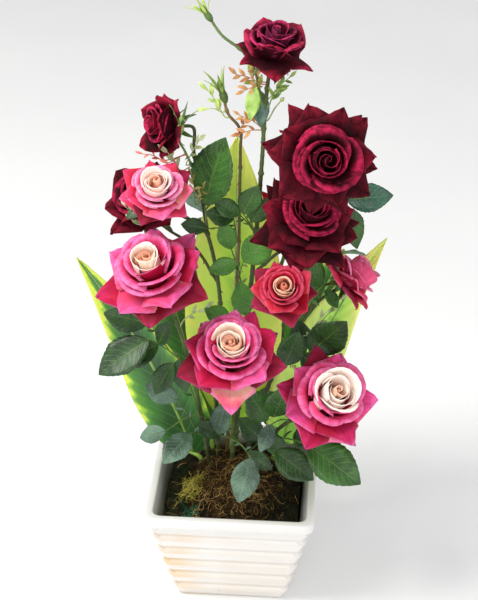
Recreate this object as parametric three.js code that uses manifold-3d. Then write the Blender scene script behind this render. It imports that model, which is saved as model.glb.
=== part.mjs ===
// Artificial rose bush in a square ribbed pot: silk roses on wired canes, sprays of rose leaves, broad
// two-tone leaves, buds, and a mound of curled moss over the block that the canes are pushed into.
// Millimetres, +Z up. The origin is the middle of the pot's flat underside. The front is towards -Y.

import * as THREE from 'three';
import { mergeVertices } from 'three/addons/utils/BufferGeometryUtils.js';
import Module from 'manifold-3d';

const wasm = await Module();
wasm.setup();

// Pot
const POT_HEIGHT = 106.5;
const POT_RIM_WIDTH = 150;
const POT_FOOT_WIDTH = 97;
const POT_WALL = 7;
const POT_FLOOR = 8;
const LIP_TOP = 7.5;
const LIP_DEPTH = 9;
const LIP_CHAMFER = 5;
const RIB_COUNT = 5;
const RIB_PITCH = 17;
const RIB_FIRST_GROOVE = 16;
const RIB_SWELL = 2.0;
const RIB_GROOVE = 1.1;
const CORNER_RADIUS = 9;
const CORNER_STEPS = 4;

// Filling: a block with a mound of moss
const FILL_EDGE_HEIGHT = 84;
const FILL_RINGS = 6;
const MOUND_RISE = 30;
const MOUND_CENTRE = [8, -2];
const MOUND_SPREAD = [36, 40];
const MOUND_LUMP = 2.2;
const PUSHED_IN = 34;

// Fits
const GAP = 0.3;

// Silk petals and leaves
const PETAL_THICKNESS = 1.3;
const LEAF_THICKNESS = 0.9;
const BROAD_LEAF_THICKNESS = 2.6;
const SEPAL_THICKNESS = 0.9;
const ROOT_HALF = 0.45;
const FOLD = 0.16;
const LEAF_WIDTH = 0.66;
const LEAF_ROWS = [0.001, 0.34, 0.7];
const LEAF_WIDEST = 0.46;
const LEAF_TRIES = [1, 0.88, 0.76, 0.64];
const BROAD_ROWS = [0.001, 0.14, 0.32, 0.55, 0.78];
const BROAD_WIDEST = 0.3;

// Canes, boughs, twigs and the parts of a flower
const CANE_SIDES = 5;
const LIMB_STEP = 22;
const TWIG_RADIUS = 1.1;
const TWIG_SIDES = 3;
const TWIG_STEPS = 4;
const TWIG_ARCH = 0.1;
const END_LEAF_SHARE = 0.96;
const SHOOT_DROP = 60;
const STALK_RADIUS = 2.2;
const STALK_STEPS = 6;
const SEPALS = 5;
const BUD_SEPALS = 4;

const degrees = THREE.MathUtils.degToRad;
const vec = (x, y, z) => new THREE.Vector3(x, y, z);
const UP = vec(0, 0, 1);

// A small seeded random source, so that every build grows the same plant
function seeded(seed) {
  let state = (seed * 2654435761) >>> 0;
  return () => {
    state = (Math.imul(state, 1664525) + 1013904223) >>> 0;
    return state / 4294967296;
  };
}

// Solids, joins and cuts
function indexed(points, triangles) {
  const geometry = new THREE.BufferGeometry();
  const numbers = points.flatMap((p) => [p.x, p.y, p.z]);
  geometry.setAttribute('position', new THREE.Float32BufferAttribute(numbers, 3));
  geometry.setIndex(triangles.flat());
  return geometry;
}

function solid(geometry) {
  const bare = geometry.clone();
  bare.deleteAttribute('normal');
  bare.deleteAttribute('uv');
  const merged = mergeVertices(bare, 1e-4);
  return new wasm.Manifold(new wasm.Mesh({
    numProp: 3,
    vertProperties: new Float32Array(merged.attributes.position.array),
    triVerts: new Uint32Array(merged.index.array),
  }));
}

function join(parts) {
  return parts.reduce((whole, part) => whole.add(part));
}

const placed = [];
const model = new THREE.Group();

function overlaps(candidate) {
  const box = candidate.boundingBox();
  return placed.some((other) => {
    for (let axis = 0; axis < 3; axis++) {
      if (box.max[axis] < other.box.min[axis] || box.min[axis] > other.box.max[axis]) return false;
    }
    return candidate.intersect(other.body).volume() > 1e-6;
  });
}

function place(name, body, material) {
  const { vertProperties, triVerts, numProp } = body.getMesh();
  const points = new Float32Array((vertProperties.length / numProp) * 3);
  for (let i = 0; i < points.length / 3; i++) {
    for (let axis = 0; axis < 3; axis++) points[i * 3 + axis] = vertProperties[i * numProp + axis];
  }
  const geometry = new THREE.BufferGeometry();
  geometry.setAttribute('position', new THREE.BufferAttribute(points, 3));
  geometry.setIndex([...triVerts]);
  geometry.computeVertexNormals();
  const mesh = new THREE.Mesh(geometry, material);
  mesh.name = name;
  model.add(mesh);
  placed.push({ name, body, box: body.boundingBox() });
}

// A closed shell through a row of rings that have the same number of points, with a flat fan at each end
function loft(rings) {
  const count = rings[0].length;
  const points = rings.flat();
  const triangles = [];
  for (let k = 0; k < rings.length - 1; k++) {
    for (let i = 0; i < count; i++) {
      const a = k * count + i;
      const b = k * count + ((i + 1) % count);
      triangles.push([a, b, b + count], [a, b + count, a + count]);
    }
  }
  const last = (rings.length - 1) * count;
  const middle = (ring) => ring.reduce((sum, p) => sum.add(p), vec(0, 0, 0)).divideScalar(count);
  points.push(middle(rings[0]), middle(rings.at(-1)));
  for (let i = 0; i < count; i++) {
    const j = (i + 1) % count;
    triangles.push([j, i, points.length - 2], [last + i, last + j, points.length - 1]);
  }
  return indexed(points, triangles);
}

// A lens-shaped blade: a point at each end, and rows of left edge, upper midrib, right edge and lower
// midrib. Upper and lower faces split along the same diagonals, so that they never cross.
function lens(first, rows, last) {
  const points = [first, ...rows.flatMap((r) => [r.left, r.upper, r.right, r.lower]), last];
  const end = points.length - 1;
  const triangles = [];
  for (let side = 0; side < 4; side++) {
    const next = (side + 1) % 4;
    triangles.push([0, 1 + side, 1 + next]);
    for (let k = 0; k < rows.length - 1; k++) {
      const [a, b] = [1 + k * 4 + side, 1 + k * 4 + next];
      if (side % 2 === 0) triangles.push([a, a + 4, b + 4], [a, b + 4, b]);
      else triangles.push([a, a + 4, b], [a + 4, b + 4, b]);
    }
    const tip = end - 4;
    triangles.push([tip + side, end, tip + next]);
  }
  return indexed(points, triangles);
}

// A tapering limb with flat ends along a curve
function limb(curve, startRadius, endRadius, sides, steps) {
  const rings = [];
  const side = vec(1, 0.3, 0);
  for (let k = 0; k <= steps; k++) {
    const t = k / steps;
    const along = curve.getTangentAt(t);
    const across = side.clone().addScaledVector(along, -side.dot(along)).normalize();
    side.copy(across);
    const other = along.clone().cross(across);
    const radius = THREE.MathUtils.lerp(startRadius, endRadius, t);
    rings.push(Array.from({ length: sides }, (_, i) => {
      const turn = (2 * Math.PI * i) / sides;
      return curve.getPointAt(t)
        .addScaledVector(across, radius * Math.cos(turn))
        .addScaledVector(other, radius * Math.sin(turn));
    }));
  }
  return loft(rings);
}

const finish = (color, roughness) => new THREE.MeshStandardMaterial({ color, roughness, metalness: 0 });
const glaze = finish(0xf2efe6, 0.12);
const moss = finish(0x5e4a26, 0.95);
const caneGreen = finish(0x3d4a1c, 0.55);
const leafGreen = finish(0x2c5a2a, 0.5);
const twoTone = finish(0xb4d84a, 0.45);
const budGreen = finish(0x7f9a3c, 0.55);
const crimson = finish(0x74102c, 0.8);
const pink = finish(0xe83f84, 0.7);

// Pot: rounded squares, up the ribbed outside, over the lip and down the inside to the floor
function roundedSquare(half, z) {
  const ring = [];
  for (let corner = 0; corner < 4; corner++) {
    const turn = degrees(90 * corner);
    for (let step = 0; step < CORNER_STEPS; step++) {
      const angle = turn + degrees((90 * step) / (CORNER_STEPS - 1));
      const offset = half - CORNER_RADIUS;
      const centreX = offset * (corner === 0 || corner === 3 ? 1 : -1);
      const centreY = offset * (corner < 2 ? 1 : -1);
      ring.push(vec(centreX + CORNER_RADIUS * Math.cos(angle), centreY + CORNER_RADIUS * Math.sin(angle), z));
    }
  }
  return ring;
}

// Half of the pot's width at a height, before the ribs
function wallHalf(z) {
  const bodyTop = POT_RIM_WIDTH / 2 - LIP_CHAMFER;
  return THREE.MathUtils.lerp(POT_FOOT_WIDTH / 2, bodyTop, z / (POT_HEIGHT - LIP_DEPTH - LIP_CHAMFER));
}

function cavityHalf(z) {
  return wallHalf(Math.min(z, POT_HEIGHT)) - POT_WALL;
}

function potRings() {
  const rings = [roundedSquare(wallHalf(0), 0)];
  for (let rib = 0; rib < RIB_COUNT; rib++) {
    const groove = RIB_FIRST_GROOVE + rib * RIB_PITCH;
    rings.push(roundedSquare(wallHalf(groove - 4) + RIB_SWELL, groove - 4));
    rings.push(roundedSquare(wallHalf(groove) - RIB_GROOVE, groove));
    rings.push(roundedSquare(wallHalf(groove + 3) + RIB_SWELL / 2, groove + 3));
  }
  const rim = POT_RIM_WIDTH / 2;
  const lipFoot = POT_HEIGHT - LIP_DEPTH;
  rings.push(roundedSquare(wallHalf(lipFoot - LIP_CHAMFER), lipFoot - LIP_CHAMFER));
  rings.push(roundedSquare(rim, lipFoot));
  rings.push(roundedSquare(rim, POT_HEIGHT - 1));
  rings.push(roundedSquare(rim - 1, POT_HEIGHT));
  rings.push(roundedSquare(rim - LIP_TOP, POT_HEIGHT));
  rings.push(roundedSquare(cavityHalf(POT_HEIGHT - LIP_DEPTH), POT_HEIGHT - LIP_DEPTH));
  rings.push(roundedSquare(cavityHalf(POT_FLOOR), POT_FLOOR));
  return rings;
}

place('pot', solid(loft(potRings())), glaze);

// Height of the moss and the block's top at a place
function fillHeight(x, y) {
  const u = (x - MOUND_CENTRE[0]) / MOUND_SPREAD[0];
  const v = (y - MOUND_CENTRE[1]) / MOUND_SPREAD[1];
  const lump = MOUND_LUMP * Math.sin(x * 0.31) * Math.cos(y * 0.27);
  return FILL_EDGE_HEIGHT + MOUND_RISE * Math.exp(-(u * u + v * v) / 2) + lump;
}

function fillingRings() {
  const foot = POT_FLOOR + GAP;
  const rings = [roundedSquare(cavityHalf(foot) - GAP * 1.5, foot)];
  const edge = roundedSquare(cavityHalf(FILL_EDGE_HEIGHT - MOUND_LUMP) - GAP * 1.5, 0);
  for (let k = 0; k < FILL_RINGS; k++) {
    const share = 1 - k / FILL_RINGS;
    rings.push(edge.map((p) => vec(p.x * share, p.y * share, fillHeight(p.x * share, p.y * share))));
  }
  return rings;
}

// Roses
// Rings of petals as shares of the rose's radius: leans are angles above the outward level, first at
// the root and then at the tip
const PETAL_RINGS = {
  cupped: { count: 5, root: [0.16, 0.0], length: 1.0, half: 0.40, lean: [78, 44], cup: 0.6, roll: 0.1 },
  upper: { count: 5, root: [0.16, -0.02], length: 0.76, half: 0.35, lean: [42, 4], cup: 0.25, roll: 0.2 },
  lower: { count: 5, root: [0.1, -0.05], length: 0.9, half: 0.36, lean: [18, -18], cup: 0.1, roll: 0.22 },
};
const HEAD_PROFILE = [
  [0, -0.06], [0.26, 0.06], [0.5, 0.38], [0.54, 0.68], [0.42, 0.78], [0.36, 0.68], [0, 0.9],
];
const HEAD_SIDES = 8;
const PETAL_ROWS = [0.5, 0.8];
const CALYX_DEPTH = 0.3;
const CALYX_SIDES = 6;
const CALYX_PROFILE = [[0, -CALYX_DEPTH], [0.06, -CALYX_DEPTH], [0.13, -0.14], [0.19, -0.02], [0, 0.1]];

// Half width of a petal along its length, as a share: narrow root, broad shoulders, a pointed tip
function petalOutline(v) {
  const rise = 0.35 + 0.65 * THREE.MathUtils.smoothstep(v, 0, 0.6);
  const fall = v < 0.66 ? 1 : 1 - ((v - 0.66) / 0.34) ** 1.3;
  return rise * fall;
}

// A point of a petal in the rose's own frame, u from -1 to 1 across and v from root to tip
function petalPoint(ring, radius, u, v, lift) {
  const steps = 12;
  let [out, rise] = ring.root;
  let lean = degrees(ring.lean[0]);
  for (let k = 0; k < steps; k++) {
    const t = (v * (k + 0.5)) / steps;
    lean = degrees(THREE.MathUtils.lerp(ring.lean[0], ring.lean[1], t));
    out += (ring.length * v * Math.cos(lean)) / steps;
    rise += (ring.length * v * Math.sin(lean)) / steps;
  }
  const side = u * ring.half * petalOutline(v);
  const inward = ring.cup * side * side - ring.roll * ring.half * Math.abs(u) ** 3 * v + lift / radius;
  return vec(out - inward * Math.sin(lean), side, rise + inward * Math.cos(lean)).multiplyScalar(radius);
}

function petal(ring, radius, turn) {
  const at = (u, v, lift) => petalPoint(ring, radius, u, v, lift).applyAxisAngle(UP, turn);
  const rows = PETAL_ROWS.map((v) => ({
    left: at(-1, v, 0),
    upper: at(0, v, PETAL_THICKNESS / 2),
    right: at(1, v, 0),
    lower: at(0, v, -PETAL_THICKNESS / 2),
  }));
  return lens(at(0, 0, 0), rows, at(0, 1, 0));
}

// Turns and moves a solid from its own frame, where it faces +Z, to its place on the plant
function settle(body, centre, facing, turn) {
  const swing = new THREE.Quaternion().setFromUnitVectors(UP, facing);
  const spin = new THREE.Quaternion().setFromAxisAngle(UP, turn);
  const matrix = new THREE.Matrix4().compose(centre, swing.multiply(spin), vec(1, 1, 1));
  return body.transform(matrix.toArray());
}

// A turned solid about +Z from a profile of radius and height pairs that starts and ends on the axis
function turned(profile, sides, scale) {
  const outline = profile.map(([r, z]) => new THREE.Vector2(r * scale, z * scale));
  return solid(new THREE.LatheGeometry(outline, sides).rotateX(Math.PI / 2));
}

// The pointed green sepals under a rose or round a bud
function sepal(radius, length, width, lean, turn) {
  const root = vec(radius * 0.4, 0, 0);
  const tip = vec(radius + length * Math.cos(lean), 0, length * Math.sin(lean));
  const middle = root.clone().lerp(tip, 0.45);
  const lift = vec(-Math.sin(lean), 0, Math.cos(lean)).multiplyScalar(SEPAL_THICKNESS / 2);
  const row = {
    left: middle.clone().add(vec(0, -width / 2, 0)),
    upper: middle.clone().add(lift),
    right: middle.clone().add(vec(0, width / 2, 0)),
    lower: middle.clone().sub(lift),
  };
  return solid(lens(root, [row], tip).rotateZ(turn));
}

function rose(name, { centre, facing, diameter, rings, turn, silk }) {
  const radius = diameter / 2;
  const parts = [turned(HEAD_PROFILE, HEAD_SIDES, radius), turned(CALYX_PROFILE, CALYX_SIDES, radius)];
  rings.forEach((key, layer) => {
    const ring = PETAL_RINGS[key];
    for (let i = 0; i < ring.count; i++) {
      parts.push(solid(petal(ring, radius, (2 * Math.PI * (i + layer * 0.5)) / ring.count)));
    }
  });
  for (let i = 0; i < SEPALS; i++) {
    const leaf = sepal(radius * 0.1, radius * 0.5, radius * 0.16, degrees(-35), (2 * Math.PI * i) / SEPALS);
    parts.push(leaf.translate([0, 0, -0.1 * radius]));
  }
  place(name, settle(join(parts), vec(...centre), vec(...facing).normalize(), degrees(turn)), silk);
}

const OPEN = ['upper', 'lower'];
const ROSES = {
  rose_top: {
    centre: [30, 5, 509], facing: [0.15, -0.12, 1],
    diameter: 62, rings: OPEN, turn: 10, silk: crimson,
  },
  rose_left_high: {
    centre: [-50, 12, 443], facing: [-0.85, -0.45, 0.25],
    diameter: 56, rings: ['cupped'], turn: 0, silk: crimson,
  },
  rose_left_back: {
    centre: [-74, 24, 362], facing: [-0.4, -0.4, 0.82],
    diameter: 80, rings: OPEN, turn: 20, silk: crimson,
  },
  rose_left_mid: {
    centre: [-59, -30, 402], facing: [0.05, -0.56, 0.83],
    diameter: 60, rings: OPEN, turn: 0, silk: pink,
  },
  rose_right_high: {
    centre: [71, -45, 446], facing: [0.15, -0.91, 0.38],
    diameter: 94, rings: OPEN, turn: 8, silk: crimson,
  },
  rose_right_low: {
    centre: [59, -8, 366], facing: [0.17, -0.52, 0.84],
    diameter: 88, rings: OPEN, turn: 30, silk: crimson,
  },
  rose_left_low: {
    centre: [-60, -50, 335], facing: [-0.16, -0.47, 0.87],
    diameter: 92, rings: OPEN, turn: 15, silk: pink,
  },
  rose_small: {
    centre: [44, -45, 325], facing: [0, -0.69, 0.72],
    diameter: 56, rings: OPEN, turn: 36, silk: pink,
  },
  rose_side: {
    centre: [93, 0, 309], facing: [0.8, 0.18, 0.59],
    diameter: 60, rings: OPEN, turn: 0, silk: pink,
  },
  rose_front: {
    centre: [3, -65, 270], facing: [0, -0.48, 0.87],
    diameter: 86, rings: OPEN, turn: 24, silk: pink,
  },
  rose_front_right: {
    centre: [80, -50, 221], facing: [0.35, -0.53, 0.77],
    diameter: 88, rings: OPEN, turn: 5, silk: pink,
  },
  rose_back_high: {
    centre: [66, 66, 396], facing: [0.25, 0.75, 0.62],
    diameter: 72, rings: OPEN, turn: 12, silk: crimson,
  },
  rose_back_left: {
    centre: [-66, 74, 268], facing: [-0.35, 0.75, 0.6],
    diameter: 70, rings: OPEN, turn: 0, silk: pink,
  },
  rose_back_mid: {
    centre: [10, 86, 318], facing: [0.1, 0.8, 0.6],
    diameter: 62, rings: OPEN, turn: 30, silk: pink,
  },
};

// Buds: a closed head in long sepals
const BUD_PROFILE = [[0, -0.62], [0.16, -0.6], [0.3, -0.4], [0.34, -0.2], [0.3, 0.1], [0.14, 0.5], [0, 0.62]];
const BUDS = {
  bud_top: { centre: [-23, 10, 541], facing: [-0.55, 0, 0.8], length: 15 },
  bud_middle: { centre: [-11, 15, 474], facing: [-0.3, 0, 0.95], length: 18 },
  bud_left: { centre: [-42, -2, 452], facing: [0.1, -0.1, 0.95], length: 15 },
};

function bud(name, { centre, facing, length }) {
  const parts = [turned(BUD_PROFILE, CALYX_SIDES, length)];
  for (let i = 0; i < BUD_SEPALS; i++) {
    const turn = (2 * Math.PI * i) / BUD_SEPALS;
    const leaf = sepal(length * 0.25, length * 0.95, length * 0.26, degrees(62), turn);
    parts.push(leaf.translate([0, 0, -0.35 * length]));
  }
  place(name, settle(join(parts), vec(...centre), vec(...facing).normalize(), 0), budGreen);
}

// Limbs. A cane is pushed into the block at its foot and a bough leaves another limb at a height.
// Both pass through their bends and end just short of the flower that they carry.
const LIMBS = {
  cane_tall: {
    foot: [-2, 20], carries: 'rose_top', radii: [2.5, 1.6],
    bends: [[6, 20, 214], [13, 16, 292], [20, 11, 382], [24, 8, 450]],
  },
  cane_bud: {
    foot: [-9, 28], carries: 'bud_middle', radii: [2.0, 1.2],
    bends: [[-6, 34, 200], [0, 30, 290], [3, 22, 387], [2, 18, 440]],
  },
  cane_left_high: {
    foot: [-17, 22], carries: 'rose_left_high', radii: [2.2, 1.4],
    bends: [[-19, 22, 170], [-14, 18, 279], [-26, 16, 361], [-34, 14, 420]],
  },
  cane_left_low: {
    foot: [-24, 8], carries: 'rose_left_low', radii: [2.0, 1.5],
    bends: [[-30, 12, 150], [-38, 0, 215], [-50, -20, 285]],
  },
  cane_right: {
    foot: [10, 22], carries: 'rose_side', radii: [2.2, 1.4],
    bends: [[18, 24, 150], [34, 20, 205], [52, 16, 250]],
  },
  cane_front: {
    foot: [-3, 2], carries: 'rose_front', radii: [2.0, 1.6],
    bends: [[-2, 2, 140], [1, -18, 195]],
  },
  cane_low_right: {
    foot: [20, 4], carries: 'rose_front_right', radii: [2.0, 1.5],
    bends: [[28, 0, 140], [48, -16, 175]],
  },
  cane_back: {
    foot: [14, 52], carries: 'rose_back_high', radii: [2.2, 1.5],
    bends: [[20, 62, 160], [32, 68, 260], [50, 64, 340]],
  },
  bough_right_low: {
    from: 'cane_tall', height: 305, carries: 'rose_right_low', radii: [1.5, 1.3],
    bends: [[40, 6, 336]],
  },
  bough_right_high: {
    from: 'cane_tall', height: 362, carries: 'rose_right_high', radii: [1.5, 1.3],
    bends: [[46, 30, 402], [66, 6, 436]],
  },
  bough_small: {
    from: 'cane_right', height: 222, carries: 'rose_small', radii: [1.4, 1.2],
    bends: [[42, 2, 260], [43, -16, 290]],
  },
  bough_left_back: {
    from: 'cane_left_high', height: 295, carries: 'rose_left_back', radii: [1.4, 1.2],
    bends: [[-34, 20, 325]],
  },
  bough_left_mid: {
    from: 'cane_left_high', height: 340, carries: 'rose_left_mid', radii: [1.4, 1.2],
    bends: [[-40, 2, 365]],
  },
  bough_bud_top: {
    from: 'cane_tall', height: 452, carries: 'bud_top', radii: [1.2, 0.9],
    bends: [[6, 10, 490], [-4, 11, 522]],
  },
  bough_bud_left: {
    from: 'cane_left_high', height: 395, carries: 'bud_left', radii: [1.1, 0.9],
    bends: [[-41, 6, 425]],
  },
  bough_back_left: {
    from: 'cane_back', height: 165, carries: 'rose_back_left', radii: [1.5, 1.3],
    bends: [[-26, 66, 215]],
  },
  bough_back_mid: {
    from: 'cane_back', height: 235, carries: 'rose_back_mid', radii: [1.5, 1.3],
    bends: [[18, 74, 278]],
  },
};

// Where a flower takes its limb, and the way the limb comes in
function flowerFoot(name) {
  const flower = ROSES[name] ?? BUDS[name];
  const facing = vec(...flower.facing).normalize();
  const depth = ROSES[name] ? (CALYX_DEPTH * flower.diameter) / 2 : 0.62 * flower.length;
  return { point: vec(...flower.centre).addScaledVector(facing, -depth - GAP), facing };
}

function pathBetween(start, { bends, carries }) {
  const { point, facing } = flowerFoot(carries);
  const last = vec(...(bends.at(-1) ?? start.toArray()));
  const approach = Math.min(18, point.distanceTo(last) * 0.4);
  const straight = point.clone().addScaledVector(facing, -approach);
  return new THREE.CatmullRomCurve3([start, ...bends.map((b) => vec(...b)), straight, point]);
}

const grown = {};
const sockets = [];

// A limb, and the sleeve of clear space round it. A sleeve may have a longer curve of its own.
function growLimb(name, curve, radii, sleeveCurve = curve) {
  const steps = Math.max(5, Math.round(curve.getLength() / LIMB_STEP));
  const body = solid(limb(curve, radii[0], radii[1], CANE_SIDES, steps));
  const sleeve = solid(limb(sleeveCurve, radii[0] + GAP, radii[1] + GAP, CANE_SIDES, steps));
  grown[name] = { curve, radii, body, sleeve };
}

function growCane(name, cane) {
  const [x, y] = cane.foot;
  const top = fillHeight(x, y);
  const path = { ...cane, bends: [[x, y, top + 4], ...cane.bends] };
  const foot = vec(x, y, top - PUSHED_IN);
  growLimb(name, pathBetween(foot, path), cane.radii, pathBetween(foot.clone().setZ(foot.z - GAP), path));
  sockets.push(grown[name].sleeve);
}

// The share along a limb at which it reaches a height
function shareAt(curve, height) {
  let share = 0;
  while (share < 1 && curve.getPointAt(share).z < height) share += 0.002;
  return Math.min(share, 1);
}

// Moves the start of a shoot out along its way until it stands clear of the limb that carries it
function clearOf(parent, share, towards, build) {
  const axis = parent.curve.getPointAt(share);
  const way = towards.clone().sub(axis).normalize();
  for (let out = parent.radii[1]; out < 12; out += 0.1) {
    const shoot = build(axis.clone().addScaledVector(way, out));
    if (shoot.sleeve.intersect(parent.body).volume() < 1e-6) return shoot;
  }
  return null;
}

function growBough(name, bough) {
  const parent = grown[bough.from];
  const share = shareAt(parent.curve, bough.height);
  const shoot = clearOf(parent, share, vec(...bough.bends[0]), (start) => {
    growLimb(name, pathBetween(start, bough), bough.radii);
    return grown[name];
  });
  if (!shoot) throw new Error(`${name} finds no clear start`);
}

// Broad two-tone leaves: a stalk pushed into the block, and one long blade that arches over
const BROAD_LEAVES = {
  broad_leaf_left: {
    foot: [-34, 24], neck: [-46, 26, 108], tip: [-134, 4, 322],
    bow: [11, 2, -4], width: 62, face: [-0.1, -0.95, 0.2],
  },
  broad_leaf_middle: {
    foot: [-6, 40], neck: [-4, 46, 130], tip: [-1, 46, 420],
    bow: [0, 4, 0], width: 88, face: [0, -1, 0.2],
  },
  broad_leaf_right: {
    foot: [34, 28], neck: [46, 38, 118], tip: [127, 30, 337],
    bow: [-10, 10, -2], width: 54, face: [0.1, -0.95, 0.2],
  },
  broad_leaf_back_left: {
    foot: [-24, 46], neck: [-30, 56, 118], tip: [-84, 118, 262],
    bow: [-6, 10, 26], width: 66, face: [-0.3, 0.6, 0.6],
  },
  broad_leaf_back_right: {
    foot: [28, 46], neck: [36, 56, 118], tip: [92, 112, 280],
    bow: [6, 10, 26], width: 66, face: [0.3, 0.6, 0.6],
  },
};

// Half width of a blade along its length, as a share
function bladeOutline(v, widest) {
  return Math.sin(Math.PI * v ** (Math.LN2 / -Math.log(widest))) ** 0.85;
}

// A blade from its root to its tip: bow bends its midrib, fold lifts its edges
function blade({ root, tip, bow, face, width, thickness, shares, widest }) {
  const middle = root.clone().lerp(tip, 0.5).addScaledVector(bow, 2);
  const curve = new THREE.QuadraticBezierCurve3(root, middle, tip);
  const rows = shares.map((v) => {
    const spine = curve.getPoint(v);
    const along = curve.getTangent(v);
    const normal = face.clone().addScaledVector(along, -face.dot(along)).normalize();
    const side = normal.clone().cross(along);
    const half = Math.max(ROOT_HALF, (width / 2) * bladeOutline(v, widest));
    const thick = v < 0.02 ? ROOT_HALF : thickness / 2;
    return {
      left: spine.clone().addScaledVector(side, -half).addScaledVector(normal, FOLD * half),
      upper: spine.clone().addScaledVector(normal, thick),
      right: spine.clone().addScaledVector(side, half).addScaledVector(normal, FOLD * half),
      lower: spine.clone().addScaledVector(normal, -thick),
    };
  });
  const behind = root.clone().addScaledVector(curve.getTangent(0), -ROOT_HALF);
  return solid(lens(behind, rows, tip));
}

function growBroadLeaf(name, { foot, neck, tip, bow, width, face }) {
  const [x, y] = foot;
  const top = fillHeight(x, y);
  const bends = [vec(x, y, top + 4), vec(...neck)];
  const start = vec(x, y, top - PUSHED_IN * 0.6);
  const curve = new THREE.CatmullRomCurve3([start, ...bends]);
  const hole = new THREE.CatmullRomCurve3([start.clone().setZ(start.z - GAP), ...bends]);
  const stalk = solid(limb(curve, STALK_RADIUS, STALK_RADIUS, CANE_SIDES, STALK_STEPS));
  sockets.push(solid(limb(hole, STALK_RADIUS + GAP, STALK_RADIUS + GAP, CANE_SIDES, STALK_STEPS)));
  const root = curve.getPointAt(1 - 1 / STALK_STEPS);
  const leaf = blade({
    root,
    tip: vec(...tip),
    bow: vec(...bow),
    face: vec(...face).normalize(),
    width,
    thickness: BROAD_LEAF_THICKNESS,
    shares: BROAD_ROWS,
    widest: BROAD_WIDEST,
  });
  return { name, body: stalk.add(leaf) };
}

// Sprays of rose leaves. Each end is a twig's tip and the tip of the leaf on it: the first twig leaves
// the limb, and the others fork from the first. Pairs of leaves sit along the first twig, swung out
// and shrunk by the spray's own seeded draws.
const SPRAYS = [
  { on: 'cane_left_high', height: 345, pairs: 0, ends: [
    [[-24, 0, 379], [-7, 4, 438]],
  ] },
  { on: 'bough_right_high', height: 392, pairs: 0, face: [0.1, -0.85, 0.5], ends: [
    [[94, 22, 375], [130, 16, 385]],
  ] },
  { on: 'cane_left_low', height: 215, pairs: 1, ends: [
    [[-72, -28, 264], [-112, -44, 236]],
    [[-73, -14, 272], [-109, -22, 284]],
  ] },
  { on: 'cane_tall', height: 222, pairs: 0, ends: [
    [[10, -6, 279], [5, -4, 310]],
    [[-4, -8, 273], [-24, -16, 289]],
  ] },
  { on: 'cane_right', height: 200, pairs: 1, ends: [
    [[67, -8, 245], [96, -20, 284]],
    [[44, -22, 238], [56, -26, 276]],
  ] },
  { on: 'cane_low_right', height: 145, pairs: 0, ends: [
    [[68, -56, 180], [113, -80, 160]],
  ] },
  { on: 'cane_low_right', height: 128, pairs: 0, ends: [
    [[39, -36, 158], [73, -58, 145]],
  ] },
  { on: 'cane_front', height: 145, pairs: 0, ends: [
    [[18, -40, 151], [8, -60, 118]],
    [[-16, 8, 141], [-9, 10, 175]],
  ] },
  { on: 'cane_left_low', height: 135, pairs: 1, ends: [
    [[-38, -18, 160], [-59, -46, 146]],
    [[-50, -16, 195], [-76, -20, 212]],
  ] },
  { on: 'cane_left_low', height: 185, pairs: 0, ends: [
    [[-47, -16, 240], [-40, -24, 208]],
    [[-52, -20, 236], [-67, -28, 207]],
  ] },
  { on: 'cane_tall', height: 332, pairs: 0, ends: [
    [[14, 2, 364], [29, -4, 391]],
    [[7, -2, 373], [20, -6, 401]],
    [[4, 2, 370], [-17, 0, 383]],
  ] },
  { on: 'cane_right', height: 258, pairs: 0, ends: [
    [[75, -14, 315], [52, -22, 346]],
    [[78, -10, 308], [88, -14, 293]],
  ] },
  { on: 'cane_tall', height: 262, pairs: 0, ends: [
    [[-3, 0, 340], [-10, 2, 363]],
    [[3, -4, 328], [-21, -8, 321]],
    [[8, -2, 328], [33, -10, 359]],
  ] },
  { on: 'cane_bud', height: 325, pairs: 0, ends: [
    [[-1, 6, 364], [-26, -8, 377]],
    [[-24, 4, 354], [-44, -2, 361]],
  ] },
  { on: 'cane_right', height: 150, pairs: 0, ends: [
    [[30, -12, 173], [12, -20, 210]],
    [[36, -16, 180], [46, -24, 220]],
  ] },
  { on: 'cane_back', height: 200, pairs: 2, ends: [
    [[18, 98, 236], [10, 126, 224]],
    [[-4, 88, 256], [-30, 106, 268]],
  ] },
  { on: 'cane_back', height: 290, pairs: 2, ends: [
    [[66, 84, 330], [100, 100, 336]],
    [[80, 62, 300], [112, 72, 296]],
  ] },
  { on: 'bough_back_left', height: 205, pairs: 2, ends: [
    [[-24, 88, 182], [-42, 112, 162]],
    [[8, 94, 168], [28, 118, 160]],
  ] },
  { on: 'bough_back_mid', height: 285, pairs: 2, ends: [
    [[-34, 82, 330], [-62, 88, 352]],
    [[-18, 70, 352], [-38, 64, 384]],
  ] },
];

// A rose leaf. Where one with clearance all round would touch what already stands it is drawn
// shorter, and where the shortest still touches there is none.
function leafBlade(root, wantedTip, face, random) {
  const lift = 0.03 + 0.05 * random();
  const way = wantedTip.clone().sub(root);
  for (const share of LEAF_TRIES) {
    const length = share * way.length();
    const shape = {
      root,
      tip: root.clone().addScaledVector(way, share),
      bow: face.clone().multiplyScalar(length * lift),
      face,
      width: length * LEAF_WIDTH,
      thickness: LEAF_THICKNESS,
      shares: LEAF_ROWS,
      widest: LEAF_WIDEST,
    };
    const beyond = shape.tip.clone().addScaledVector(way, (2 * GAP) / way.length());
    const roomy = blade({ ...shape, tip: beyond, width: shape.width + 4 * GAP });
    const moves = [-1, 1].map((side) => face.clone().multiplyScalar(side * GAP).toArray());
    if (moves.every((move) => !overlaps(roomy.translate(move)))) return blade(shape);
  }
  return null;
}

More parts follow.
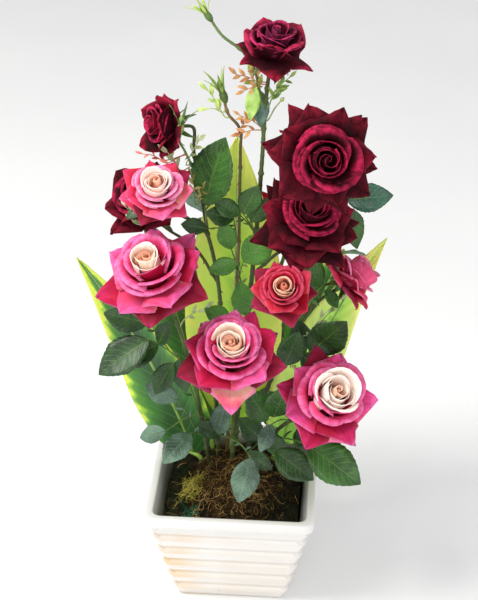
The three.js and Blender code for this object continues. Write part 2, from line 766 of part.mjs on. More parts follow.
// A twig, and the sleeve of clear space round it that begins a little before its start
function twig(start, end) {
  const shape = (from, radius) => {
    const middle = from.clone().lerp(end, 0.5).addScaledVector(UP, TWIG_ARCH * from.distanceTo(end));
    const curve = new THREE.QuadraticBezierCurve3(from, middle, end);
    return { curve, body: solid(limb(curve, radius, radius * 0.8, TWIG_SIDES, TWIG_STEPS)) };
  };
  const before = start.clone().addScaledVector(end.clone().sub(start).normalize(), -GAP);
  return { ...shape(start, TWIG_RADIUS), sleeve: shape(before, TWIG_RADIUS + 2 * GAP).body };
}

// The way a leaf's upper face looks: up, outward from the plant's middle and a little to the front
function leafFace(at) {
  const outward = vec(at.x, at.y - 20, 0).normalize().multiplyScalar(0.4);
  return outward.add(vec(0, at.y > 50 ? 0.4 : -0.6, 0.6)).normalize();
}

function growPairs(shoot, pairs, endLength, face, random) {
  const leaves = [];
  for (let pair = 0; pair < pairs; pair++) {
    const share = 1 - (pair + 1) / TWIG_STEPS;
    const foot = shoot.curve.getPointAt(share);
    const along = shoot.curve.getTangentAt(share);
    const normal = face.clone().addScaledVector(along, -face.dot(along)).normalize();
    for (const side of [-1, 1]) {
      const swing = side * degrees(52 + 16 * random());
      const way = along.clone().applyAxisAngle(normal, swing);
      way.addScaledVector(normal, 0.25 * (random() - 0.5)).normalize();
      const length = endLength * (0.72 + 0.16 * random() - 0.08 * pair);
      leaves.push(leafBlade(foot, foot.clone().addScaledVector(way, length), face, random));
    }
  }
  return leaves;
}

// A twig from a limb that touches nothing: where it would, it starts lower down the limb
function clearShoot(parent, height, end) {
  for (let drop = 0; drop < SHOOT_DROP; drop += 4) {
    const shoot = clearOf(parent, shareAt(parent.curve, height - drop), end, (start) => twig(start, end));
    if (shoot && !overlaps(shoot.sleeve)) return shoot;
  }
  throw new Error(`no clear start near ${height}`);
}

function growSpray(index, { on, height, pairs, face, ends }) {
  const random = seeded(index + 1);
  const [first, ...others] = ends.map(([root, tip]) => ({ root: vec(...root), tip: vec(...tip) }));
  const look = (at) => (face ? vec(...face).normalize() : leafFace(at));
  const endLeaf = ({ curve }, { root, tip }) => (
    leafBlade(curve.getPointAt(END_LEAF_SHARE), tip, look(root), random));
  const shoot = clearShoot(grown[on], height, first.root);
  const parts = [shoot.body, endLeaf(shoot, first)];
  for (const end of others) {
    const fork = twig(shoot.curve.getPointAt(0.5), end.root);
    if (!overlaps(fork.sleeve)) parts.push(fork.body, endLeaf(fork, end));
  }
  parts.push(...growPairs(shoot, pairs, first.root.distanceTo(first.tip), look(first.root), random));
  const name = `leaf_spray_${String(index + 1).padStart(2, '0')}`;
  place(name, join(parts.filter((part) => part)), leafGreen);
}

// The plant is put together: limbs first, then the block that takes them, flowers and foliage
for (const [name, item] of Object.entries(LIMBS)) {
  if (item.foot) growCane(name, item);
}
for (const [name, item] of Object.entries(LIMBS)) {
  if (item.from) growBough(name, item);
}
const broadLeaves = Object.entries(BROAD_LEAVES).map(([name, item]) => growBroadLeaf(name, item));
place('moss_filling', sockets.reduce((body, hole) => body.subtract(hole), solid(loft(fillingRings()))), moss);
for (const name of Object.keys(LIMBS)) place(name, grown[name].body, caneGreen);
for (const [name, item] of Object.entries(ROSES)) rose(name, item);
for (const [name, item] of Object.entries(BUDS)) bud(name, item);
for (const { name, body } of broadLeaves) place(name, body, twoTone);
SPRAYS.forEach((item, index) => growSpray(index, item));

export default model;
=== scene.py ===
import math

import bmesh
import bpy
import numpy as np
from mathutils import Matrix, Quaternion, Vector, noise


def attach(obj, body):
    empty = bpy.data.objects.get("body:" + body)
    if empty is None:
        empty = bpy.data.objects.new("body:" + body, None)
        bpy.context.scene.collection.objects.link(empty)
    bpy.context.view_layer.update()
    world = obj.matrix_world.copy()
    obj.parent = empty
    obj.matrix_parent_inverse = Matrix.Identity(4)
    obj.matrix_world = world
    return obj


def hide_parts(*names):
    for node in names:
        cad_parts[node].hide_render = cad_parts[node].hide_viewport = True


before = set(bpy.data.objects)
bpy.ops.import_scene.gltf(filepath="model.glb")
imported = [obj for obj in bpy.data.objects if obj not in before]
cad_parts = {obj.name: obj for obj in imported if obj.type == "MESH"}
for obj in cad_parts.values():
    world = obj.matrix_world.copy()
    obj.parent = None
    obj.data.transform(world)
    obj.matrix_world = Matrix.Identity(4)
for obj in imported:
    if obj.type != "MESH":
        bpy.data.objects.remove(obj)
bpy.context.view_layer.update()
scene = bpy.context.scene
scene.view_settings.view_transform = "Standard"
MM = 0.001


# Pot: slip-cast earthenware, square with rounded corners, five stepped ribs and a flat lip, under a
# thick glossy white glaze that runs a little warm where it pools. The warm beige in the rib grooves is
# kept mostly to the left half, away from the light, so it is partly pooled glaze and partly painted shade;
# the inner wall is darkened grey-green with painted shade. It stands on its own flat underside.
POT_HEIGHT, POT_RIM_HALF, POT_FOOT_HALF = 106.5, 75.0, 48.5
POT_WALL, POT_FLOOR, LIP_DEPTH, LIP_CHAMFER = 7.0, 8.0, 9.0, 5.0
LIP_FOOT = POT_HEIGHT - LIP_DEPTH
WALL_SLOPE = (POT_RIM_HALF - LIP_CHAMFER - POT_FOOT_HALF) / (LIP_FOOT - LIP_CHAMFER)
RIB_PITCH, GROOVE_SHADE_PHASE = 17, 18.5
RIB_GROOVES = range(16, 90, RIB_PITCH)
RIB_SHAPE = [(-4, 2.0), (0, -1.1), (3, 1.0)]
# Steps of the lip, out from the rim's half and up from its own foot or top.
LIP_UNDERSIDE = [(-2.6, -2.6), (-0.9, -0.9), (-0.1, 0.4), (0, 2)]
LIP_TOP = [(0, -2.4), (-0.3, -1.1), (-1.1, -0.3), (-2.4, 0), (-5.6, 0), (-6.9, -0.4), (-7.5, -1.6)]


class Wire:
    """A value in a shader tree. A sum on it adds the node that works it out."""

    def __init__(self, socket):
        self.socket, self.tree = socket, socket.id_data

    def __add__(self, other):
        return calc("ADD", self, other)

    def __sub__(self, other):
        return calc("SUBTRACT", self, other)

    def __mul__(self, other):
        return calc("MULTIPLY", self, other)


def dye(code):
    channels = [int(code[i:i + 2], 16) / 255 for i in (1, 3, 5)]
    return tuple(c / 12.92 if c < 0.04045 else ((c + 0.055) / 1.055) ** 2.4 for c in channels) + (1.0,)


def put(tree, kind, inputs=None, **settings):
    """Adds a node and gives back a way to its outputs, by name or number."""
    node = tree.nodes.new(kind)
    for key, value in settings.items():
        setattr(node, key, value)
    for key, value in (inputs or {}).items():
        if isinstance(value, Wire):
            tree.links.new(value.socket, node.inputs[key])
        else:
            node.inputs[key].default_value = dye(value) if isinstance(value, str) else value
    return lambda output: Wire(node.outputs[output])


def calc(operation, a, b=0.0, clamp=False):
    return put(a.tree, "ShaderNodeMath", {0: a, 1: b}, operation=operation, use_clamp=clamp)(0)


def between(share, a, b):
    return put(share.tree, "ShaderNodeMix", {0: share, 6: a, 7: b}, data_type="RGBA")(2)


def grade(value, low, high):
    limits = {"Value": value, "From Min": low, "From Max": high}
    return put(value.tree, "ShaderNodeMapRange", limits, interpolation_type="SMOOTHSTEP")("Result")


def ramp(value, *stops):
    node = value.tree.nodes.new("ShaderNodeValToRGB")
    value.tree.links.new(value.socket, node.inputs["Fac"])
    while len(node.color_ramp.elements) < len(stops):
        node.color_ramp.elements.new(0.5)
    for element, (place, tone) in zip(node.color_ramp.elements, stops):
        element.position = place
        element.color = dye(tone) if isinstance(tone, str) else (tone, tone, tone, 1.0)
    return Wire(node.outputs["Color"])


def spots(tree, scale, detail=3.0, where=None):
    where = where or put(tree, "ShaderNodeTexCoord")("Object")
    return put(tree, "ShaderNodeTexNoise", {"Vector": where, "Scale": scale, "Detail": detail})("Fac")


def axes(tree, where):
    apart = put(tree, "ShaderNodeSeparateXYZ", {0: where})
    return [apart(way) for way in "XYZ"]


def blank_finish(name):
    finish = bpy.data.materials.new(name)
    finish.use_nodes = True
    finish.node_tree.nodes.clear()
    return finish


def surface(finish, colour, rough, specular=0.5, height=None, relief=0.0, strength=0.5, extra=None):
    tree = finish.node_tree
    values = {"Base Color": colour, "Roughness": rough, "Specular IOR Level": specular, **(extra or {})}
    if height:
        bump = {"Height": height, "Distance": relief, "Strength": strength}
        values["Normal"] = put(tree, "ShaderNodeBump", bump)("Normal")
    shader = put(tree, "ShaderNodeBsdfPrincipled", values)("BSDF")
    put(tree, "ShaderNodeOutputMaterial", {"Surface": shader})
    return finish


def hand_over(name, mesh, finishes, replaced=None):
    piece = bpy.data.objects.new(name, mesh)
    scene.collection.objects.link(piece)
    for finish in finishes:
        mesh.materials.append(finish)
    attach(piece, "root")
    if replaced:
        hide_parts(replaced)


def drawn_out(mould, edges):
    grown = bmesh.ops.extrude_edge_only(mould, edges=edges)["geom"]
    kinds = bmesh.types.BMVert, bmesh.types.BMEdge
    return [[item for item in grown if isinstance(item, kind)] for kind in kinds]


def cast(name, mould, flat_bottoms=False):
    bmesh.ops.recalc_face_normals(mould, faces=mould.faces[:])
    for face in mould.faces:
        face.smooth = not flat_bottoms or len(face.verts) == 4
    mesh = bpy.data.meshes.new(name)
    mould.to_mesh(mesh)
    mould.free()
    return mesh


def wall_half(z):
    return POT_FOOT_HALF + WALL_SLOPE * z


def cavity_half(z):
    return wall_half(z) - POT_WALL


knots = [(0.0, -0.8), (1.2, 0.2)]
knots += [(groove + dz, swell) for groove in RIB_GROOVES for dz, swell in RIB_SHAPE]
knots.append((LIP_FOOT - LIP_CHAMFER, 0.0))
stations = [(wall_half(0) - 0.8, 0.0)]
for (z0, swell0), (z1, swell1) in zip(knots, knots[1:]):
    steps = 3 if z1 - z0 < 5 else 6
    for t in np.arange(1, steps + 1) / steps:
        z = z0 + (z1 - z0) * t
        stations.append((wall_half(z) + swell0 + (swell1 - swell0) * t * t * (3 - 2 * t), z))
stations += [(POT_RIM_HALF + out, LIP_FOOT + up) for out, up in LIP_UNDERSIDE]
stations += [(POT_RIM_HALF + out, POT_HEIGHT + up) for out, up in LIP_TOP]
stations += [(cavity_half(z), z) for z in (LIP_FOOT, 70.0, 40.0, POT_FLOOR + 3)]
stations.append((cavity_half(POT_FLOOR) - 3, POT_FLOOR))

pot = bmesh.new()
bmesh.ops.create_grid(pot, x_segments=1, y_segments=1, size=0.5)
bmesh.ops.bevel(pot, geom=pot.verts[:], offset=0.06, offset_type="OFFSET", segments=8, profile=0.5,
                affect="VERTICES", material=-1)
half, height = stations[0]
bmesh.ops.scale(pot, vec=(2 * half * MM, 2 * half * MM, 1), verts=pot.verts[:])
rim_edges = pot.edges[:]
for next_half, z in stations[1:]:
    corners, rim_edges = drawn_out(pot, rim_edges)
    bmesh.ops.scale(pot, vec=(next_half / half, next_half / half, 1), verts=corners)
    bmesh.ops.translate(pot, vec=(0, 0, (z - height) * MM), verts=corners)
    half, height = next_half, z
bmesh.ops.contextual_create(pot, geom=rim_edges)

glaze = blank_finish("white_glaze")
tree = glaze.node_tree
across, deep, up = axes(tree, put(tree, "ShaderNodeTexCoord")("Object"))
pooled = ramp(spots(tree, 9.0, 2.0), (0.3, "#e4e3e1"), (0.55, "#dfdcd8"), (0.8, "#d9d2c7"))
specks = ramp(spots(tree, 160.0, 4.0), (0.68, 0.0), (0.74, 1.0))
# Painted shade: warm beige in patches in the rib grooves below the lip, mostly on the left half, away from
# the light; partly also the glaze pooling warm in the grooves.
swing = (up - GROOVE_SHADE_PHASE * MM) * (2 * math.pi / (RIB_PITCH * MM))
hollow = ramp(calc("SINE", swing), (0.15, 1.0), (0.75, 0.0))
to_left = ramp((across + POT_RIM_HALF * MM) * (0.5 / POT_RIM_HALF / MM), (0.1, 1.0), (0.6, 0.1))
patchy = to_left * ramp(spots(tree, 16.0), (0.38, 0.25), (0.6, 1.0))
below_lip = ramp(up * 10.0, (0.9, 1.0), (0.94, 0.0))
glaze_with_painted_shade = between(patchy * below_lip * (hollow * 0.85 + 0.08), pooled, "#e2c49a")
# Painted shade: the inner wall is darkened to grey-green where the foliage shades it, fading out toward
# the rim.
from_middle = calc("MAXIMUM", calc("ABSOLUTE", across), calc("ABSOLUTE", deep))
from_face = up * WALL_SLOPE + POT_FOOT_HALF * MM - from_middle
inside = grade(from_face, 0.0035, 0.0055) * grade(up, 0.1045, 0.094)
glaze_with_painted_shade = between(inside * 0.75, glaze_with_painted_shade, "#77786a")
wavy = spots(tree, 14.0, 1.0) + spots(tree, 120.0, 2.0) * 0.06
surface(glaze, between(specks, glaze_with_painted_shade, "#d8cdb8"), rough=0.16, height=wavy, relief=0.004, strength=0.35,
        extra={"Coat Weight": 0.5, "Coat Roughness": 0.04})
hand_over("glazed_pot", cast("glazed_pot", pot, flat_bottoms=True), [glaze], "pot")


# Filling: a block of dry flower foam pressed into the pot, rough dark green to brown, rising to a mound
# in the middle that the canes are pushed into.
FILL_EDGE_HEIGHT, FILL_FOOT, MOUND_RISE, MOUND_LUMP = 84.0, 40.0, 30.0, 2.2
MOUND_CENTRE, MOUND_SPREAD = (8.0, -2.0), (36.0, 40.0)
FILL_GAP, FILL_CORNER, FILL_SUNK = 1.0, 9, 1.2
# Fineness, layer of the noise and height of the crumbs.
CRUMBS = [(0.5, 3.0, 1.1), (0.13, 7.0, 1.4)]


def fill_height(x, y):
    u, v = (x - MOUND_CENTRE[0]) / MOUND_SPREAD[0], (y - MOUND_CENTRE[1]) / MOUND_SPREAD[1]
    lump = MOUND_LUMP * np.sin(x * 0.31) * np.cos(y * 0.27)
    return FILL_EDGE_HEIGHT + MOUND_RISE * np.exp(-(u * u + v * v) / 2) + lump


def crumb(x, y, fine, layer):
    return noise.noise(Vector((x * fine, y * fine, layer)))


block = bmesh.new()
block_half = cavity_half(FILL_EDGE_HEIGHT) - FILL_GAP
straight = block_half - FILL_CORNER
bmesh.ops.create_grid(block, x_segments=90, y_segments=90, size=block_half * MM)
edge_loop = [edge for edge in block.edges if edge.is_boundary]
for vertex in block.verts:
    x, y = vertex.co.x / MM, vertex.co.y / MM
    past_x, past_y = abs(x) - straight, abs(y) - straight
    if past_x > 0 and past_y > 0:
        reach = max(past_x, past_y) / math.hypot(past_x, past_y)
        x, y = math.copysign(straight + past_x * reach, x), math.copysign(straight + past_y * reach, y)
    rough = sum(crumb(x, y, fine, layer) * size for fine, layer, size in CRUMBS)
    vertex.co = Vector((x, y, float(fill_height(x, y)) - FILL_SUNK + rough)) * MM
corners, foot_edges = drawn_out(block, edge_loop)
narrowed = (cavity_half(FILL_FOOT) - FILL_GAP) / block_half
bmesh.ops.scale(block, vec=(narrowed, narrowed, 1), verts=corners)
for vertex in corners:
    vertex.co.z = FILL_FOOT * MM
bmesh.ops.contextual_create(block, geom=foot_edges)


def shared_effect(name, colours, numbers, results=("Colour", "Height")):
    effect = bpy.data.node_groups.new(name, "ShaderNodeTree")
    add = effect.interface.new_socket
    for label in colours:
        add(name=label, in_out="INPUT", socket_type="NodeSocketColor")
    for label, value in numbers.items():
        add(name=label, in_out="INPUT", socket_type="NodeSocketFloat").default_value = value
    for label in results:
        kind = "NodeSocketColor" if label == "Colour" else "NodeSocketFloat"
        add(name=label, in_out="OUTPUT", socket_type=kind)
    return effect, put(effect, "NodeGroupInput")


def use_effect(tree, effect, values):
    return put(tree, "ShaderNodeGroup", values, node_tree=effect)


def effect_finish(name, effect, values, rough, relief, strength=0.5, specular=0.5, extra=None):
    finish = blank_finish(name)
    look = use_effect(finish.node_tree, effect, values)
    return surface(finish, look("Colour"), rough, specular, look("Height"), relief, strength, extra)


mottle, given = shared_effect("mottle", ["Low", "High"], {"Patch Scale": 60.0, "Grain Scale": 900.0})
patch = grade(spots(mottle, given("Patch Scale")), 0.28, 0.72)
put(mottle, "NodeGroupOutput", {"Colour": between(patch, given("Low"), given("High")),
                                "Height": spots(mottle, given("Grain Scale"), 2.0)})


def mottle_values(low, high, patch, grain):
    return {"Low": low, "High": high, "Patch Scale": patch, "Grain Scale": grain}


def mottled_finish(name, low, high, patch, grain, relief, rough, specular=0.5):
    values = mottle_values(low, high, patch, grain)
    return effect_finish(name, mottle, values, rough, relief, specular=specular)


foam = mottled_finish("flower_foam", "#10180c", "#33301a", patch=30.0, grain=700.0, relief=0.0015,
                      rough=0.95, specular=0.2)
hand_over("foam_block", cast("foam_block", block), [foam], "moss_filling")


# Moss: curled brown and tan strands of dried moss teased over the foam, with yellow-green, teal and
# dark green tufts on the left. The near-black strands low in the pile are painted shade, and the tan
# strands on top are partly the moss's own tan and partly painted highlight. Strands are loose, springy
# and lie on each other in a mound.
# Seed, strands, middle, spread, height of the pile, length of a strand, the two dyes.
MOSS = {
    "moss_shadow": (11, 1000, (6, -10), (30, 26), 4.5, 17, ("#120d06", "#2a1e0e")),
    "moss_brown": (12, 1200, (2, -18), (22, 22), 8.0, 14, ("#342410", "#5e431e")),
    "moss_tan": (13, 560, (-2, -20), (20, 20), 9.5, 12, ("#74562a", "#c8a464")),
    "moss_green_tuft": (14, 190, (-37, -22), (4, 6), 13.0, 10, ("#9c9436", "#d0c45c")),
    "moss_teal_tuft": (15, 90, (-38, -50), (4, 5), 4.0, 10, ("#1f5a40", "#3c8a64")),
    "moss_back": (17, 420, (4, 40), (26, 12), 4.0, 15, ("#2c2010", "#54401e")),
    "moss_dark_green": (16, 260, (-50, -10), (9, 28), 4.0, 12, ("#0e1e0c", "#1e3a16")),
}
STRAND_STEPS, STRAND_BEND, STRAND_JITTER = 7, 0.38, 0.42
STRAND_RADII, STRAND_TIP = (0.2, 0.42), 0.45


def shell_mesh(name, points, faces, fields=None, uv=None, materials=None):
    mesh = bpy.data.meshes.new(name)
    mesh.from_pydata(np.asarray(points, float).tolist(), [], [list(map(int, f)) for f in faces])
    for key, values in (fields or {}).items():
        field = mesh.attributes.new(key, "FLOAT", "POINT")
        field.data.foreach_set("value", np.asarray(values, np.float32))
    if uv is not None:
        corners = np.zeros(len(mesh.loops), np.int32)
        mesh.loops.foreach_get("vertex_index", corners)
        layer = mesh.uv_layers.new(name="cloth_uv")
        layer.data.foreach_set("uv", np.asarray(uv, np.float32)[corners].reshape(-1))
    mesh.polygons.foreach_set("use_smooth", [True] * len(mesh.polygons))
    if materials is not None:
        mesh.polygons.foreach_set("material_index", np.asarray(materials, np.int32))
    mesh.update()
    return mesh


def tube(path, radii, sides):
    path = np.asarray(path, float)
    along = np.gradient(path, axis=0)
    along /= np.linalg.norm(along, axis=1, keepdims=True) + 1e-12
    side = np.array([1.0, 0.3, 0.05])
    turn = 2 * np.pi * np.arange(sides) / sides
    rings = []
    for at, way, radius in zip(path, along, radii):
        side = side - way * side.dot(way)
        side /= np.linalg.norm(side) + 1e-12
        other = np.cross(way, side)
        rings.append(at + radius * (np.outer(np.cos(turn), side) + np.outer(np.sin(turn), other)))
    grid = np.arange(len(path) * sides).reshape(-1, sides)
    ahead = np.roll(grid, -1, axis=1)
    walls = np.stack([grid[:-1], ahead[:-1], ahead[1:], grid[1:]], axis=2).reshape(-1, 4).tolist()
    ends = [(j, i, grid.size) for i, j in zip(grid[0], ahead[0])]
    ends += [(i, j, grid.size + 1) for i, j in zip(grid[-1], ahead[-1])]
    return np.concatenate(rings + [path[:1], path[-1:]]), walls + ends


def gather(parts):
    points, faces, start = [], [], 0
    for part_points, part_faces in parts:
        points.append(part_points)
        faces += [tuple(i + start for i in face) for face in part_faces]
        start += len(part_points)
    return np.concatenate(points), faces


def hand_parts(name, parts, finishes, slot, replaced=None, **looks):
    hand_over(name, shell_mesh(name, *gather(parts), **looks), finishes, replaced)


def moss_strand(draw, centre, spread, lift, length):
    x, y = draw.normal(centre[0], spread[0]), draw.normal(centre[1], spread[1])
    limit = cavity_half(90.0) - 3.0
    if abs(x) > limit or abs(y) > limit:
        return None
    heading = draw.uniform(0, 2 * np.pi)
    bend = draw.normal(0, STRAND_BEND)
    climb = draw.uniform(-0.2, 0.5)
    rise = draw.uniform(0.0, lift)
    step = length / STRAND_STEPS
    path = []
    for _ in range(STRAND_STEPS + 1):
        heading += bend + draw.normal(0, STRAND_JITTER)
        x = float(np.clip(x + step * math.cos(heading), -limit, limit))
        y = float(np.clip(y + step * math.sin(heading), -limit, limit))
        rise = max(0.0, rise + climb * step * 0.6)
        climb += draw.normal(-0.08, 0.35)
        path.append((x, y, float(fill_height(x, y)) - 1.0 + min(rise, lift + 2.5)))
    return np.array(path)


for name, (seed, count, centre, spread, lift, length, tones) in MOSS.items():
    draw = np.random.default_rng(seed)
    strands = []
    for _ in range(count):
        path = moss_strand(draw, centre, spread, lift, draw.uniform(0.6, 1.3) * length)
        if path is not None:
            radius = draw.uniform(*STRAND_RADII)
            strands.append(tube(path * MM, radius * MM * np.linspace(1.0, STRAND_TIP, len(path)), 3))
    fibre = mottled_finish(name + "_fibre", *tones, patch=90.0, grain=2500.0, relief=0.0004, rough=0.85,
                           specular=0.25)
    hand_parts(name, strands, [fibre], "moss")


# Canes and boughs: wire in olive green plastic, tapering upwards, with a raised ring at each leaf joint,
# small hooked thorns and brown streaks. Each follows the same bends as its solid and its boughs grow on
# from it.
CALYX_DEPTH, BUD_DEPTH, STRAIGHT_END = 0.3, 0.62, 18.0
CANE_ROOT, CANE_COLLAR = 30.0, 4.0
JOINT_FIRST, JOINT_GAP, JOINT_SWELL = (8, 20), (24, 40), 0.55
THORN_CHANCE, THORN_LOWEST, THORN_GAP = 0.6, 112, 13
# Middle, the way it faces, width across the open petals, turn in degrees.
ROSES = {
    "rose_top": ((30, 5, 509), (0.15, -0.12, 1), 62, 10),
    "rose_left_high": ((-50, 12, 443), (-0.85, -0.45, 0.25), 56, 0),
    "rose_left_back": ((-74, 24, 362), (-0.4, -0.4, 0.82), 80, 20),
    "rose_left_mid": ((-59, -30, 402), (0.05, -0.56, 0.83), 60, 0),
    "rose_right_high": ((71, -45, 446), (0.15, -0.91, 0.38), 94, 8),
    "rose_right_low": ((59, -8, 366), (0.17, -0.52, 0.84), 88, 30),
    "rose_left_low": ((-60, -50, 335), (-0.16, -0.47, 0.87), 92, 15),
    "rose_small": ((44, -45, 325), (0, -0.69, 0.72), 56, 36),
    "rose_side": ((93, 0, 309), (0.8, 0.18, 0.59), 60, 0),
    "rose_front": ((3, -65, 270), (0, -0.48, 0.87), 86, 24),
    "rose_front_right": ((80, -50, 221), (0.35, -0.53, 0.77), 88, 5),
    "rose_back_high": ((66, 66, 396), (0.25, 0.75, 0.62), 72, 12),
    "rose_back_left": ((-66, 74, 268), (-0.35, 0.75, 0.6), 70, 0),
    "rose_back_mid": ((10, 86, 318), (0.1, 0.8, 0.6), 62, 30),
}
# Middle, the way it points, length.
BUDS = {
    "bud_top": ((-23, 10, 541), (-0.55, 0, 0.8), 15),
    "bud_middle": ((-11, 15, 474), (-0.3, 0, 0.95), 18),
    "bud_left": ((-42, -2, 452), (0.1, -0.1, 0.95), 15),
}
# Place on the filling, or parent and height on it, then bends, what it carries, and radius at each end.
LIMBS = {
    "cane_tall": ((-2, 20), ((6, 20, 214), (13, 16, 292), (20, 11, 382), (24, 8, 450)),
                  "rose_top", (2.5, 1.6)),
    "cane_bud": ((-9, 28), ((-6, 34, 200), (0, 30, 290), (3, 22, 387), (2, 18, 440)),
                 "bud_middle", (2.0, 1.2)),
    "cane_left_high": ((-17, 22), ((-19, 22, 170), (-14, 18, 279), (-26, 16, 361), (-34, 14, 420)),
                       "rose_left_high", (2.2, 1.4)),
    "cane_left_low": ((-24, 8), ((-30, 12, 150), (-38, 0, 215), (-50, -20, 285)),
                      "rose_left_low", (2.0, 1.5)),
    "cane_right": ((10, 22), ((18, 24, 150), (34, 20, 205), (52, 16, 250)), "rose_side", (2.2, 1.4)),
    "cane_front": ((-3, 2), ((-2, 2, 140), (1, -18, 195)), "rose_front", (2.0, 1.6)),
    "cane_low_right": ((20, 4), ((28, 0, 140), (48, -16, 175)), "rose_front_right", (2.0, 1.5)),
    "cane_back": ((14, 52), ((20, 62, 160), (32, 68, 260), (50, 64, 340)), "rose_back_high", (2.2, 1.5)),
    "bough_right_low": (("cane_tall", 305), ((40, 6, 336),), "rose_right_low", (1.5, 1.3)),
    "bough_right_high": (("cane_tall", 362), ((46, 30, 402), (66, 6, 436)), "rose_right_high", (1.5, 1.3)),
    "bough_small": (("cane_right", 222), ((42, 2, 260), (43, -16, 290)), "rose_small", (1.4, 1.2)),
    "bough_left_back": (("cane_left_high", 295), ((-34, 20, 325),), "rose_left_back", (1.4, 1.2)),
    "bough_left_mid": (("cane_left_high", 340), ((-40, 2, 365),), "rose_left_mid", (1.4, 1.2)),
    "bough_bud_top": (("cane_tall", 452), ((17, 9.3, 486), (6.5, 9.8, 509)), "bud_top", (1.4, 1.1)),
    "bough_bud_left": (("cane_left_high", 395), ((-41, 6, 425),), "bud_left", (1.1, 0.9)),
    "bough_back_left": (("cane_back", 165), ((-26, 66, 215),), "rose_back_left", (1.5, 1.3)),
    "bough_back_mid": (("cane_back", 235), ((18, 74, 278),), "rose_back_mid", (1.5, 1.3)),
}


def floats(*points):
    return [np.array(point, float) for point in points]


def bend_through(points, samples=400):
    knots = floats(*points)
    knots = np.array([2 * knots[0] - knots[1], *knots, 2 * knots[-1] - knots[-2]])
    spans = len(knots) - 3
    place = np.minimum(np.arange(samples + 1) / samples * spans, spans - 1e-9)
    first = place.astype(int)
    t = (place - first)[:, None]
    p0, p1, p2, p3 = (knots[first + k] for k in range(4))
    gaps = (np.linalg.norm(b - a, axis=1, keepdims=True) for a, b in ((p0, p1), (p1, p2), (p2, p3)))
    d0, d1, d2 = (np.maximum(gap ** 0.5, 1e-4) for gap in gaps)
    m1 = ((p1 - p0) / d0 - (p2 - p0) / (d0 + d1) + (p2 - p1) / d1) * d1
    m2 = ((p2 - p1) / d1 - (p3 - p1) / (d1 + d2) + (p3 - p2) / d2) * d1
    return ((2 * t ** 3 - 3 * t ** 2 + 1) * p1 + (t ** 3 - 2 * t ** 2 + t) * m1
            + (3 * t ** 2 - 2 * t ** 3) * p2 + (t ** 3 - t ** 2) * m2)


def travelled(path):
    return np.concatenate([[0], np.cumsum(np.linalg.norm(np.diff(path, axis=0), axis=1))])


def evenly(path, count):
    steps = travelled(path)
    wanted = np.linspace(0, steps[-1], count)
    return np.stack([np.interp(wanted, steps, line) for line in path.T], axis=1)


def unit(vector):
    vector = np.asarray(vector, float)
    return vector / np.linalg.norm(vector)


def limb_path(start, bends, carries):
    if carries in ROSES:
        centre, facing, diameter, _ = ROSES[carries]
        depth = CALYX_DEPTH * diameter / 2
    else:
        centre, facing, length = BUDS[carries]
        depth = BUD_DEPTH * length
    facing = unit(facing)
    point = np.array(centre) - facing * (depth + 0.3)
    approach = min(STRAIGHT_END, np.linalg.norm(point - np.array(bends[-1])) * 0.4)
    return bend_through([start, *bends, point - facing * approach, point + facing * depth * 0.5])


def cane_relief(path, radii, draw):
    length = travelled(path)[-1]
    count = max(12, int(length / 1.6))
    line, share = evenly(path, count), np.linspace(0, 1, count)
    radius = radii[0] + (radii[1] - radii[0]) * share
    along = share * length
    joint = draw.uniform(*JOINT_FIRST)
    while joint < along[-1] - 6:
        radius = radius + JOINT_SWELL * radii[1] * np.exp(-((along - joint) / 1.5) ** 2)
        line = line + (draw.normal(0, 0.5, 3) * np.exp(-((along - joint) / 9) ** 2)[:, None])
        joint += draw.uniform(*JOINT_GAP)
    radius = radius * (1 + 0.05 * np.sin(along * 0.9) + 0.03 * np.sin(along * 2.3))
    return line, radius


def thorn(line, radius, index, draw):
    along = unit(line[min(index + 1, len(line) - 1)] - line[index - 1])
    out = unit(np.cross(along, draw.normal(size=3)))
    foot = line[index] + out * radius[index] * 0.6
    hook = np.array([foot, foot + out * 1.2 - along * 0.2, foot + out * 2.6 - along * 1.2])
    return tube(hook * MM, np.array([0.9, 0.5, 0.08]) * MM, 5)


cane_bark, given = shared_effect("cane_bark", ["Low", "High", "Streak"], {})
place = put(cane_bark, "ShaderNodeTexCoord")("Object")
drawn = put(cane_bark, "ShaderNodeMapping", {"Vector": place, "Scale": (1.0, 1.0, 0.25)})("Vector")
streaks = spots(cane_bark, 260.0, 3.0, drawn)
body = use_effect(cane_bark, mottle, mottle_values(given("Low"), given("High"), 24.0, 900.0))("Colour")
put(cane_bark, "NodeGroupOutput", {
    "Colour": between(ramp(streaks, (0.45, 0.0), (0.7, 0.5)), body, given("Streak")), "Height": streaks})


def cane_finish(name, low, high):
    dyes = {"Low": low, "High": high, "Streak": "#57402a"}
    return effect_finish(name, cane_bark, dyes, rough=0.5, relief=0.0006, strength=0.6)


cane_green = cane_finish("cane_green", "#28340f", "#56682e")
pale_green = cane_finish("pale_stem_green", "#4a6430", "#7c9a50")
tan_stem = cane_finish("tan_stem", "#544420", "#8c7a44")
STEM_FINISH = {"bough_bud_top": pale_green, "bough_bud_left": pale_green, "cane_bud": tan_stem}
cane_paths = {}
for order, (name, (start, bends, carries, radii)) in enumerate(LIMBS.items()):
    draw = np.random.default_rng(100 + order)
    if isinstance(start[0], str):
        parent = cane_paths[start[0]]
        path = limb_path(parent[int(np.argmax(parent[:, 2] >= start[1]))], bends, carries)
    else:
        top = float(fill_height(*start))
        path = limb_path((*start, top - CANE_ROOT), ((*start, top + CANE_COLLAR), *bends), carries)
    cane_paths[name] = path
    line, radius = cane_relief(path, radii, draw)
    parts = [tube(line * MM, radius * MM, 9)]
    for index in range(14, len(line) - 8, THORN_GAP):
        if draw.random() < THORN_CHANCE and line[index][2] > THORN_LOWEST:
            parts.append(thorn(line, radius, index, draw))
    hand_parts(name + "_bark", parts, [STEM_FINISH.get(name, cane_green)], "cane", name)


